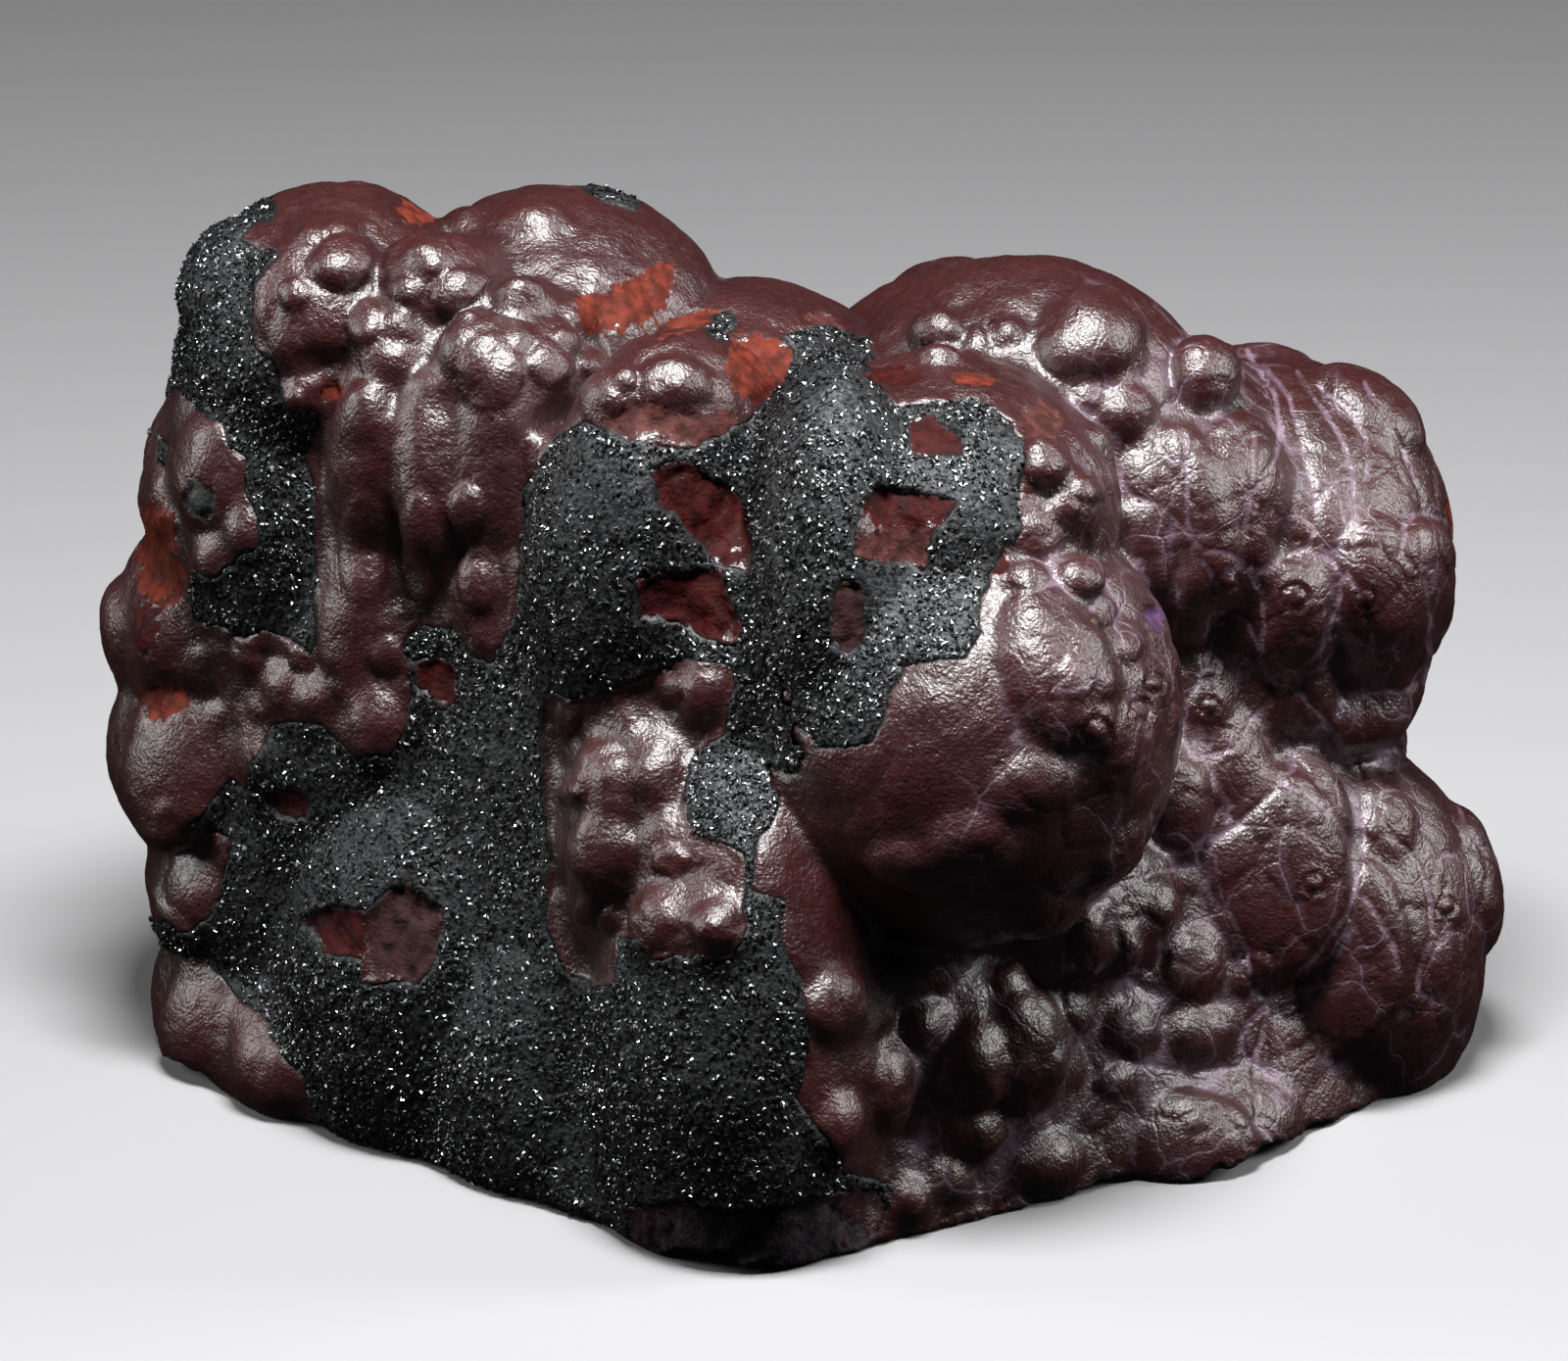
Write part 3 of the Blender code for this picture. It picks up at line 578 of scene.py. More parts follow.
BARE = {
    "foot of the pillar": [
        (556, 712), (600, 715), (640, 700), (670, 685), (700, 678), (745, 680), (748, 700),
        (738, 745), (705, 770), (700, 800), (705, 850), (740, 862), (757, 880), (757, 945),
        (745, 975), (700, 978), (665, 975), (645, 955), (630, 955), (625, 1005),
        (610, 1005), (575, 985), (565, 950), (560, 900), (565, 860), (556, 790),
    ],
    "chip in the bulge": [(889, 493), (970, 510), (960, 544), (940, 582), (871, 567), (878, 530)],
    "chip with a knob": [(927, 428), (960, 425), (980, 440), (978, 465), (932, 467)],
    "pillar's upper chip": [
        (665, 478), (700, 475), (738, 490), (758, 520), (770, 560), (765, 580), (735, 578),
        (712, 555), (690, 530), (668, 515),
    ],
    "pillar's lower chip": [
        (655, 590), (700, 583), (735, 585), (742, 615), (755, 640), (750, 655), (715, 650),
        (690, 632), (655, 630),
    ],
    "sliver on the bulge": [(858, 592), (878, 596), (880, 640), (866, 668), (848, 655), (850, 615)],
    "wall patch 1": [(423, 680), (445, 672), (465, 685), (467, 712), (455, 722), (430, 705)],
    "wall patch 2": [(275, 808), (300, 803), (318, 815), (312, 832), (288, 830)],
    "wall patch 3": [
        (310, 940), (345, 922), (372, 935), (400, 915), (420, 905), (450, 930), (445, 975),
        (420, 1000), (372, 1000), (365, 975), (330, 970),
    ],
    "broken corner": [
        (640, 1235), (690, 1228), (740, 1240), (790, 1232), (850, 1222), (900, 1215),
        (900, 1290), (780, 1340), (640, 1290),
    ],
}

# Where the crust is so thin that the skin shows in specks: middle and half sizes in pixels.
THIN_CRUST = np.array((805.0, 700.0, 38.0, 130.0))

# How far the crust's edge frays, and a depth that takes it away anywhere, in mm.
CRUST_FRAY = 0.16
CRUST_BARED = 6.0

# Where the skin is another colour than maroon: a patch's middle and half sizes in photograph
# pixels, its lean in degrees clockwise, and its stain.
STAINS = {
    "orange": (0.170, 0.028, 0.015),
    "red": (0.056, 0.006, 0.005),
    "pink": (0.110, 0.035, 0.031),
    "rose": (0.060, 0.024, 0.024),
    "grey": (0.095, 0.100, 0.100),
    "purple": (0.130, 0.060, 0.140),
    "ore": (0.085, 0.068, 0.080),
}
PATCHES = [
    (428, 214, 24, 14, -10, "orange"),
    (338, 398, 12, 12, 0, "orange"),
    (157, 548, 22, 36, -8, "orange"),
    (166, 592, 26, 24, 20, "orange"),
    (150, 640, 14, 30, 0, "red"),
    (270, 622, 12, 14, 0, "orange"),
    (168, 716, 26, 20, 0, "orange"),
    (446, 697, 22, 24, 0, "red"),
    (600, 318, 14, 22, 0, "orange"),
    (640, 312, 42, 22, -18, "orange"),
    (668, 285, 26, 14, -20, "orange"),
    (700, 330, 36, 10, -20, "orange"),
    (655, 428, 36, 18, -10, "pink"),
    (712, 436, 40, 20, 0, "pink"),
    (776, 376, 36, 34, 20, "orange"),
    (790, 400, 30, 12, -20, "red"),
    (842, 333, 20, 10, 25, "pink"),
    (905, 386, 36, 10, 0, "red"),
    (992, 387, 22, 5, 8, "orange"),
    (1065, 430, 20, 16, 35, "pink"),
    (955, 446, 34, 28, 0, "red"),
    (922, 515, 52, 30, 8, "red"),
    (918, 560, 52, 20, 0, "pink"),
    (1020, 573, 12, 10, 0, "red"),
    (715, 528, 60, 56, 0, "red"),
    (705, 618, 54, 42, 0, "red"),
    (865, 632, 20, 42, 0, "rose"),
    (296, 818, 26, 18, 0, "red"),
    (340, 955, 34, 42, 20, "red"),
    (415, 955, 40, 50, 0, "rose"),
    (205, 512, 18, 18, 0, "grey"),
    (620, 462, 24, 26, 0, "grey"),
    (768, 496, 12, 22, 10, "grey"),
    (1487, 518, 10, 32, 0, "orange"),
    (1178, 632, 9, 12, -20, "purple"),
    (770, 1262, 120, 40, 0, "ore"),
]

# Seams between the lobes of the right side, in photograph pixels.
SEAMS = [
    [(1241, 640), (1227, 686), (1210, 716), (1207, 753), (1219, 775), (1261, 764), (1276, 738),
     (1306, 706)],
    [(1291, 640), (1285, 671), (1300, 698), (1325, 704), (1346, 729), (1374, 765), (1447, 767)],
    [(1362, 640), (1349, 661), (1325, 695)],
    [(1398, 655), (1395, 689), (1404, 704), (1432, 706), (1453, 695), (1463, 671), (1456, 652)],
    [(1247, 824), (1233, 851), (1212, 870), (1181, 866), (1175, 830), (1196, 796), (1205, 747)],
    [(1222, 866), (1264, 842), (1288, 814), (1306, 799), (1319, 787), (1322, 765), (1349, 739),
     (1386, 787), (1392, 824), (1392, 873), (1374, 934), (1340, 980), (1313, 1010),
     (1294, 1021), (1276, 1010), (1273, 971), (1254, 931), (1236, 918), (1224, 894),
     (1222, 866)],
    [(1306, 799), (1334, 811), (1349, 824), (1374, 854)],
    [(1080, 964), (1117, 925), (1132, 909), (1172, 894), (1212, 882), (1222, 885)],
    [(1086, 967), (1083, 1001), (1086, 1035), (1101, 1056), (1120, 1100), (1141, 1081),
     (1169, 1087), (1212, 1096), (1264, 1090), (1276, 1081)],
    [(1135, 934), (1141, 961), (1143, 992), (1163, 1007), (1187, 1016)],
    [(1141, 940), (1169, 938), (1184, 949), (1187, 974), (1178, 992), (1144, 986)],
    [(1187, 974), (1209, 946), (1227, 952), (1251, 974)],
    [(1294, 1023), (1291, 1047), (1282, 1078), (1285, 1150), (1310, 1175)],
    [(1420, 851), (1441, 873), (1452, 894), (1459, 922), (1459, 961), (1447, 992),
     (1447, 1013), (1459, 1020)],
    [(1392, 915), (1404, 931), (1420, 958), (1426, 986)],
    [(1337, 992), (1349, 998), (1351, 1013), (1343, 1020)],
    [(1300, 1026), (1306, 1041), (1325, 1038), (1334, 1023)],
    [(1484, 811), (1493, 839), (1508, 860), (1518, 873)],
    [(1291, 1026), (1276, 1041), (1267, 1065), (1270, 1075)],
    [(1155, 508), (1187, 517), (1216, 549), (1228, 562), (1254, 565), (1273, 578), (1292, 583),
     (1315, 565), (1334, 559)],
    [(1209, 438), (1213, 482), (1211, 527), (1219, 549)],
    [(1279, 444), (1278, 482), (1276, 505), (1270, 546)],
    [(1273, 358), (1299, 399), (1308, 438), (1302, 463), (1280, 501)],
    [(1292, 374), (1315, 406), (1327, 444), (1343, 514), (1339, 546), (1334, 559)],
    [(1324, 380), (1356, 428), (1372, 457), (1382, 482), (1383, 511)],
    [(1347, 393), (1378, 419), (1394, 444), (1398, 476), (1394, 495)],
    [(1391, 390), (1417, 428), (1433, 463), (1449, 505), (1455, 524)],
    [(1385, 540), (1426, 546), (1442, 527), (1458, 524), (1477, 533), (1490, 549)],
    [(1433, 546), (1429, 565), (1445, 584), (1452, 578), (1450, 546)],
    [(1452, 584), (1458, 610), (1461, 632), (1458, 661)],
    [(1375, 584), (1388, 613), (1398, 639), (1398, 655)],
    [(1288, 664), (1289, 639), (1288, 607), (1283, 584), (1305, 568), (1331, 559), (1359, 572),
     (1372, 591), (1362, 623), (1350, 655)],
    [(1286, 661), (1273, 635), (1244, 623), (1241, 594), (1254, 581), (1270, 578), (1283, 600)],
    [(1216, 559), (1235, 584), (1241, 623), (1235, 655), (1229, 680)],
    [(1203, 600), (1200, 623), (1197, 655)],
]

# Ring-shaped warts on the right side: middle and radius in photograph pixels.
RINGS = [
    (1256, 594, 10), (1321, 610, 16), (1393, 610, 12), (1234, 686, 10), (1234, 721, 11),
    (1341, 902, 13), (1475, 925, 11), (1115, 745, 15), (1163, 726, 13), (1176, 698, 12),
]

# Small knobs that the solid leaves out: middle, half width and half height in photograph
# pixels, and how far they stand proud in mm.
BUMPS = [
    (348, 233, 20, 14, 0.4), (301, 408, 12, 12, 0.35), (414, 298, 15, 15, 0.4),
    (489, 292, 15, 14, 0.4), (525, 345, 17, 17, 0.4), (576, 348, 15, 15, 0.4),
    (640, 388, 13, 12, 0.35), (169, 533, 15, 15, 0.35), (307, 670, 13, 16, 0.35),
    (396, 670, 16, 24, 0.4), (681, 702, 15, 20, 0.4), (579, 732, 14, 19, 0.4),
    (582, 811, 11, 12, 0.3), (684, 878, 18, 16, 0.4), (601, 929, 13, 14, 0.35),
    (622, 939, 12, 14, 0.35), (993, 352, 18, 18, 0.4), (1085, 355, 26, 28, 0.5),
    (1111, 406, 16, 14, 0.4), (1285, 986, 15, 15, 0.4), (1340, 1004, 11, 12, 0.3),
    (347, 270, 30, 28, 1.0), (1229, 382, 36, 42, 0.8), (1120, 335, 48, 44, 0.5),
    (957, 345, 30, 28, 0.5), (1067, 472, 26, 22, 0.5), (1110, 500, 17, 15, 0.4),
    (1082, 520, 18, 14, 0.4), (1102, 590, 22, 20, 0.5), (1050, 590, 20, 17, 0.4),
    (1126, 625, 14, 16, 0.3), (1098, 690, 18, 24, 0.3), (1150, 660, 12, 18, 0.3),
    (300, 300, 18, 16, 0.4), (318, 240, 14, 12, 0.3), (372, 330, 18, 24, 0.4),
    (470, 300, 30, 26, 0.5), (500, 380, 34, 40, 0.5), (440, 262, 24, 22, 0.4),
    (560, 372, 22, 24, 0.4), (600, 372, 14, 14, 0.35), (478, 520, 18, 26, 0.5),
    (490, 590, 20, 34, 0.4), (372, 560, 26, 60, 0.3), (430, 560, 22, 60, 0.3),
]

# Where small round knobs crowd like grapes: middle and half sizes in photograph pixels.
CROWDS = [
    (420, 290, 60, 70), (500, 350, 90, 60), (585, 345, 60, 60), (650, 390, 80, 45),
    (720, 400, 60, 40), (330, 330, 60, 60), (440, 680, 60, 60), (270, 690, 90, 40),
    (600, 820, 60, 120), (690, 930, 70, 60), (1095, 520, 60, 80), (1060, 590, 90, 40),
    (1150, 700, 60, 110), (1000, 1090, 120, 90), (940, 330, 50, 40), (220, 880, 90, 60),
]


def outline_depth(places, outlines):
    """How far inside the nearest of several outlines each place is, in mm."""
    return np.max([inside(places, outline) for outline in outlines.values()], 0) / PIXELS_PER_MM


class Survey:
    """What is known at each corner of a mesh of the lump."""

    def __init__(self, thing):
        self.points = points_of(thing)
        self.normals = normals_of(thing)
        self.above = self.points[:, 2]
        self.facing = smoothed(self.normals @ TOWARD_CAMERA, edges_of(thing), FACING_ROUNDS)
        self.front = ramp(self.facing, 0.0, 0.2)
        warp = np.stack([ragged(self.points, 1.6, seed) for seed in (71, 81)], 1)
        self.places = to_photo(self.points)
        self.ragged_places = self.places + TEAR * warp
        self.wavy_places = self.places + WAVER * warp
        bend = np.stack([drift(self.points, 2.5, seed) for seed in (73, 83, 93)], 1)
        self.warped = self.points + BEND * bend

    @cached_property
    def crust(self):
        """How deep inside the crust's outline each corner is, in mm; less than 0 outside."""
        seen = np.minimum(
            outline_depth(self.ragged_places, CRUST), -outline_depth(self.ragged_places, BARE)
        )
        depth = seen * self.front + self.unseen_crust(seen) * (1.0 - self.front)
        depth += CRUST_FRAY * ragged(self.points, 0.9, 95)
        span = np.hypot(*((self.places - THIN_CRUST[:2]) / THIN_CRUST[2:]).T)
        holes = ramp(1.0 - span, 0.0, 0.5) * ramp(ragged(self.points, 1.4, 99), 0.05, 0.35)
        return depth - CRUST_BARED * holes * self.front

    def unseen_crust(self, seen):
        """The crust's depth on the sides that the photograph doesn't show, in mm.

        It lies in wide patches, more to the left and lower down. It keeps off the foot, and off
        the skyline where the front beside it is bare.
        """
        depth = 3.0 * ragged(self.points, 16.0, 91) + 0.6 * ragged(self.points, 3.0, 97)
        depth += 1.5 * ramp(-self.points[:, 0], -10.0, 30.0) - ramp(self.above, 10.0, 34.0)
        depth -= 4.0 * ramp(2.0 - self.above, 0.0, 1.5)
        depth -= 4.0 * ramp(self.facing, -0.4, -0.1) * ramp(-seen, 0.0, 0.5)
        return depth

    @cached_property
    def right(self):
        """1 on the right side, 0 on the left one; the unseen sides count as part right."""
        seen = ramp(self.places[:, 0] + 0.25 * self.places[:, 1], *SIDES_MEET)
        return seen * self.front + UNSEEN_RIGHT * (1.0 - self.front)

    @cached_property
    def crowd(self):
        """How much small knobs crowd, from 0 to 1."""
        seen = np.zeros(len(self.points))
        for x, y, width, tall in CROWDS:
            span = np.hypot(*((self.ragged_places - (x, y)) / (width, tall)).T)
            seen = np.maximum(seen, ramp(1.3 - span, 0.0, 0.5))
        unseen = ramp(drift(self.points, 8.0, 61), 0.0, 0.5)
        return seen * self.front + unseen * (1.0 - self.front)

    @cached_property
    def stain(self):
        """The nearest stain's colour, and how deep in it each corner is, less than 0 outside."""
        colour = np.tile(STAINS["red"], (len(self.points), 1))
        depth = np.full(len(self.points), -1.0)
        for x, y, width, tall, lean, name in PATCHES:
            turn = math.radians(lean)
            across, down = (self.ragged_places - (x, y)).T
            along = (across * math.cos(turn) + down * math.sin(turn)) / width
            over = (down * math.cos(turn) - across * math.sin(turn)) / tall
            here = 1.0 - np.hypot(along, over)
            deeper = here > depth
            colour[deeper] = STAINS[name]
            depth = np.maximum(depth, here)
        return colour, np.where(self.front > 0.5, depth, -1.0)

    @cached_property
    def seam(self):
        """How far each corner is from the nearest seam, in mm."""
        least = np.min([to_line(self.wavy_places, line) for line in SEAMS], 0)
        return np.where(self.front > 0.0, least, REACH) / PIXELS_PER_MM


# Where the creases are softened in the photograph: round the folds, and on the lower left. Each
# side of these two fields is the pixel where the softening starts and the one where it is full.
FOLDS_RIGHT = (640.0, 560.0)
FOLDS_TOP = (330.0, 420.0)
FOLDS_FOOT = (800.0, 720.0)
LOWER_RIGHT = (800.0, 740.0)
LOWER_TOP = (660.0, 720.0)

# How much of a full softening the creases get, by where they are, and how often that smooths.
SOFT_FOLDS = 0.6
SOFT_LOWER_LEFT = 0.7
SOFT_UNDER_CRUST = 0.7
SOFT_ANYWHERE = 0.1
SOFT_ROUNDS = 60


def soften(lump):
    """Rounds the creases: most on the left and under the crust, little on the right."""
    survey = Survey(lump)
    x, y = survey.places.T
    folds = ramp(x, *FOLDS_RIGHT) * ramp(y, *FOLDS_TOP) * ramp(y, *FOLDS_FOOT)
    lower_left = ramp(x, *LOWER_RIGHT) * ramp(y, *LOWER_TOP)
    amount = np.maximum(SOFT_FOLDS * folds, SOFT_LOWER_LEFT * lower_left)
    amount = np.maximum(amount, SOFT_UNDER_CRUST * ramp(survey.crust, -0.5, 1.0))
    amount = np.maximum(amount * survey.front, SOFT_ANYWHERE)
    soft = smoothed(survey.points, edges_of(lump), SOFT_ROUNDS)
    move_points(lump, survey.points + amount[:, None] * (soft - survey.points))


# Layers of small knobs on the skin: how wide the knobs are in mm, their random field, and how
# high they are in mm. The calm knobs are taller than wide.
CROWDED_KNOBS = (2.2, 12, 0.42)
CROWDED_GRAINS = (1.2, 19, 0.14)
CALM_KNOBS = (2.8, 17, 0.36)
CALM_STRETCH = (1.0, 1.0, 0.7)
GRAINS = (1.1, 13, 0.08)

# How wide and high the right side's flat cells are, how wide and high the small ones on them, and
# how high the bare roughness is, in mm.
SCALE_SIZE = 3.6
SCALE_HEIGHT = 0.22
SMALL_SCALE_SIZE = 1.8
SMALL_SCALE_HEIGHT = 0.07
ROUGHNESS = 0.02

# A ring-shaped wart's knob, rim and moat: how high each is in mm, and where it ends or lies, and
# how wide it is, as parts of the wart's radius.
WART_KNOB = (0.18, 0.7)
WART_RIM = (0.08, 1.15, 0.15)
WART_MOAT = (-0.12, 0.85, 0.12)

# The depth and the reach of a seam's cut and of the hollow beside it, and the least depth of a
# flaked stain and what its terraces add, in mm.
SEAM_CUT = (0.14, 0.14)
SEAM_HOLLOW = (0.04, 0.7)
FLAKE_DEPTH = 0.06
TERRACE_DEPTH = 0.12


def knobbed(points, size, seed, height):
    """Low round knobs of one size, up to half their height above and below the surface."""
    return height * (domes(points, size, seed) - 0.5)


def scaled(cell, size, height):
    """Low round cells that tip outward at the foot, as scales that overlap do."""
    toward, length, border = cell
    rise = 0.5 - (length / size) ** 2 + 0.25 * toward[:, 2] / size
    return height * (rise - 0.4 * np.exp(-border / 0.10))


def swells(survey):
    """The broad unevenness that skin and crust share, in mm."""
    return 0.25 * ragged(survey.points, 5.0, 21)


def relief(survey):
    """How far the fine relief lifts each corner along its normal, in mm."""
    height = small_knobs(survey) + flat_cells(survey)
    height += ROUGHNESS * ragged(survey.points, 0.9, 14)
    for depth, reach in (SEAM_CUT, SEAM_HOLLOW):
        height -= depth * np.exp(-survey.seam / reach)
    flaked = FLAKE_DEPTH + TERRACE_DEPTH * ramp(drift(survey.points, 1.1, 63), 0.0, 0.1)
    height -= ramp(survey.stain[1], 0.0, 0.1) * flaked
    return height + (rings(survey) + bumps(survey)) * survey.front


def small_knobs(survey):
    """Knobs that crowd like grapes, and lower and taller ones on the calm parts of the left."""
    warped, crowd, left = survey.warped, survey.crowd, 1.0 - survey.right
    height = crowd * (knobbed(warped, *CROWDED_KNOBS) + knobbed(warped, *CROWDED_GRAINS))
    height += left * (1.0 - crowd) * knobbed(warped * CALM_STRETCH, *CALM_KNOBS)
    return height + left * knobbed(warped, *GRAINS)


def flat_cells(survey):
    """The right side's flat cells, with smaller ones on them in places."""
    large = scaled(cells(survey.warped, SCALE_SIZE, 11), SCALE_SIZE, SCALE_HEIGHT)
    small = scaled(cells(survey.warped, SMALL_SCALE_SIZE, 15), SMALL_SCALE_SIZE, SMALL_SCALE_HEIGHT)
    busy = ramp(drift(survey.points, 6.0, 31), -0.3, 0.5)
    return survey.right * ((1.0 - survey.crowd) * large + busy * small)


def rings(survey):
    """Ring-shaped warts: a low knob in a moat with a thin rim."""
    height = np.zeros(len(survey.points))
    proud, end = WART_KNOB
    for x, y, radius in RINGS:
        span = np.hypot(*(survey.places - (x, y)).T) / radius
        height += proud * np.maximum(1.0 - (span / end) ** 2, 0.0)
        for tall, middle, width in (WART_RIM, WART_MOAT):
            height += tall * np.exp(-((span - middle) / width) ** 2)
    return height


def bumps(survey):
    height = np.zeros(len(survey.points))
    for x, y, width, tall, proud in BUMPS:
        span = np.hypot(*((survey.places - (x, y)) / (width, tall)).T)
        height = np.maximum(height, proud * np.sqrt(np.maximum(1.0 - span ** 2, 0.0)))
    return height


# The base was broken off. How deep its hollows go and how wide they are, in mm.
BREAK_DEPTH = 1.3
BREAK_WIDTH = 5.0


def broken_base(points):
    """How high the broken base hangs above the surface at each place, in mm."""
    flat = points * (1.0, 1.0, 0.0)
    hollow = ramp(ragged(flat, BREAK_WIDTH, 101), -0.05, 0.55)
    fibres = 0.5 + 0.5 * ragged(flat * (1.0, 0.35, 0.0), 0.9, 107)
    return hollow * BREAK_DEPTH * (0.7 + 0.3 * fibres)


def brokenness(survey):
    """1 on the broken base and 0 on the grown surface."""
    low = ramp(broken_base(survey.points) + 0.15 - survey.above, 0.0, 0.15)
    return np.maximum(low, ramp(-survey.normals[:, 2], 0.85, 0.95) * (survey.above < 2.0))


def chipped(survey):
    """1 in the front's bare places and 0 outside them."""
    return ramp(outline_depth(survey.wavy_places, BARE), 0.0, 0.12) * survey.front


# How thick the crust is, how much deeper than that the skin lies under it, as a factor, and how
# deep a chip goes, in mm.
CRUST_THICKNESS = 0.32
CLEARANCE = 1.3
CHIP_DEPTH = 0.15

# A corner's surroundings are the surface smoothed this often.
SURROUNDING_ROUNDS = 30


def hollows(thing):
    """How deep each corner lies below its wider surroundings, in mm."""
    points = points_of(thing)
    wide = smoothed(points, edges_of(thing), SURROUNDING_ROUNDS)
    return ((wide - points) * normals_of(thing)).sum(1)


def attribute(thing, name, values):
    layer = thing.data.attributes.new(name, "FLOAT", "POINT")
    layer.data.foreach_set("value", values.astype(np.float32))


def colour_attribute(thing, name, values):
    layer = thing.data.attributes.new(name, "FLOAT_COLOR", "POINT")
    layer.data.foreach_set("color", values.astype(np.float32).ravel())


def mark(thing, name, chosen):
    """Puts the chosen corners in a group at full weight, and the others at the spared one."""
    group = thing.vertex_groups.new(name=name)
    group.add(np.flatnonzero(chosen).tolist(), 1.0, "REPLACE")
    group.add(np.flatnonzero(~chosen).tolist(), SPARED, "REPLACE")


def thin_out(thing, triangles, group="", sparing=0.0):
    """Decimates, and keeps the corners outside a marked group finer than those in it."""
    data = thing.data
    thin = thing.modifiers.new("thin", "DECIMATE")
    thin.ratio = triangles / (len(data.loops) - 2.0 * len(data.polygons))
    thin.use_collapse_triangulate = True
    thin.vertex_group = group
    thin.vertex_group_factor = sparing
    apply_modifiers(thing)


def make_skin(lump, survey):
    """The bare botryoidal skin: the whole closed lump."""
    bare = 1.0 - ramp(survey.crust, 0.1, 0.35)
    height = swells(survey) + relief(survey) * bare
    height -= CLEARANCE * CRUST_THICKNESS * (1.0 - bare) + CHIP_DEPTH * chipped(survey)
    base = survey.above < 0.05
    height[base] = 0.0
    points = survey.points + survey.normals * height[:, None]
    points[:, 2] = np.maximum(points[:, 2], broken_base(points))
    skin = new_object("botryoidal_skin", within_box(points), faces_of(lump))
    covered = survey.crust > 0.5
    mark(skin, "hidden", covered | base)
    mark(skin, "hidden or behind", covered | (survey.front == 0.0))
    thin_out(skin, HALFWAY_TRIANGLES, "hidden", SPARING_SEEN)
    thin_out(skin, SKIN_TRIANGLES, "hidden or behind", SPARING_FRONT)
    describe(skin)
    return skin


def describe(skin):
    """Leaves on the skin's corners what its material reads."""
    survey = Survey(skin)
    colour, depth = survey.stain
    amount = np.clip(0.5 + depth, 0.0, 1.0)
    colour_attribute(skin, "stain", np.concatenate((colour, amount[:, None]), 1))
    attribute(skin, "broken", brokenness(survey))
    attribute(skin, "hollow", hollows(skin))
    attribute(skin, "seam", np.minimum(survey.seam, 3.0))
    attribute(skin, "right", survey.right)
    attribute(skin, "crust", np.clip(survey.crust, -3.0, 3.0))


def within_box(points):
    """The points, held inside the solid's box, in mm."""
    low, high = (np.array(corner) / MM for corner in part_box(NODE))
    return np.clip(points, low, high)


def faces_of(thing):
    count = len(thing.data.polygons)
    corners = np.empty(len(thing.data.loops), np.int32)
    thing.data.loops.foreach_get("vertex_index", corners)
    return corners.reshape(count, -1)


def make_crust(lump, survey):
    """The thin sheet of specular hematite, rough and ragged-edged, that dips into the skin.

    Its top before it is thinned out comes back too, as the seat of the plates.
    """
    depth = survey.crust
    thick = CRUST_THICKNESS * (ramp(depth, -0.1, 0.2) - 0.6)
    rough = 0.10 * (domes(survey.points, 0.55, 41) - 0.6) + 0.05 * ragged(survey.points, 0.8, 43)
    rough += swells(survey) - 0.25 * (depth < -0.1)
    points = within_box(survey.points + survey.normals * (thick + rough)[:, None])
    faces = faces_of(lump)
    clear = points[:, 2] > broken_base(points) + 0.05
    kept = faces[(depth[faces] > -0.35).all(1) & clear[faces].all(1)]
    used, kept = np.unique(kept, return_inverse=True)
    kept = kept.reshape(-1, faces.shape[1])
    top = Seat(points[used], kept[(depth[used][kept] > 0.05).all(1)])
    crust = new_object("specular_crust", points[used], kept)
    thin_out(crust, CRUST_TRIANGLES)
    return crust, top


class Seat:
    """A surface that small things stand on."""

    def __init__(self, points, faces):
        self.corners = points[faces]
        span = np.cross(
            self.corners[:, 2] - self.corners[:, 0], self.corners[:, 3] - self.corners[:, 1]
        )
        self.area = np.linalg.norm(span, axis=1)
        self.up = span / self.area[:, None]

    def places(self, count, draw):
        """Random places on the surface, gathered in patches, and the direction out of it."""
        crowd = 0.35 + ramp(ragged(self.corners.mean(1), 4.0, 51), -0.3, 0.4)
        share = self.area * crowd
        chosen = draw.choice(len(share), count, p=share / share.sum())
        split = draw.dirichlet((1.0, 1.0, 1.0, 1.0), count)
        return np.einsum("ij,ijk->ik", split, self.corners[chosen]), self.up[chosen]


def unit(vectors):
    return vectors / np.linalg.norm(vectors, axis=1)[:, None]


# A plate's corners are its two ends, two sides and two flats. Its half width, half thickness and
# the height of its middle above the crust are parts of its half length.
PLATE_FACES = np.array([
    (0, 2, 4), (2, 1, 4), (1, 3, 4), (3, 0, 4), (2, 0, 5), (1, 2, 5), (3, 1, 5), (0, 3, 5)
])
PLATE_WIDTHS = (0.35, 0.8)
PLATE_THINNESS = 0.16
PLATE_LIFT = 0.25

# The plates of one kind: how many, their least and greatest half width in mm, how far they lie
# down, and their seed.
STANDING = (24000, (0.10, 0.22), 0.4, 5)
LYING = (24000, (0.12, 0.26), 2.0, 7)
BRIGHT = (23000, (0.05, 0.20), 0.2, 6)


def make_plates(name, seat, count, sizes, lying, seed):
    """Thin plates on the crust. The more they are lying, the closer they keep to its surface."""
    draw = np.random.default_rng(seed)
    middle, up = seat.places(count, draw)
    flat = unit(unit(draw.normal(size=(count, 3))) + up * lying)
    along = unit(np.cross(flat, draw.normal(size=(count, 3))))
    half = draw.uniform(*sizes, count)[:, None]
    ends = along * half
    sides = np.cross(flat, along) * half * draw.uniform(*PLATE_WIDTHS, count)[:, None]
    flats = flat * half * PLATE_THINNESS
    middle = middle + up * half * PLATE_LIFT
    points = np.stack([middle + arm for arm in (ends, -ends, sides, -sides, flats, -flats)], 1)
    faces = PLATE_FACES[None] + 6 * np.arange(count)[:, None, None]
    return new_object(name, within_box(points.reshape(-1, 3)), faces.reshape(-1, 3))


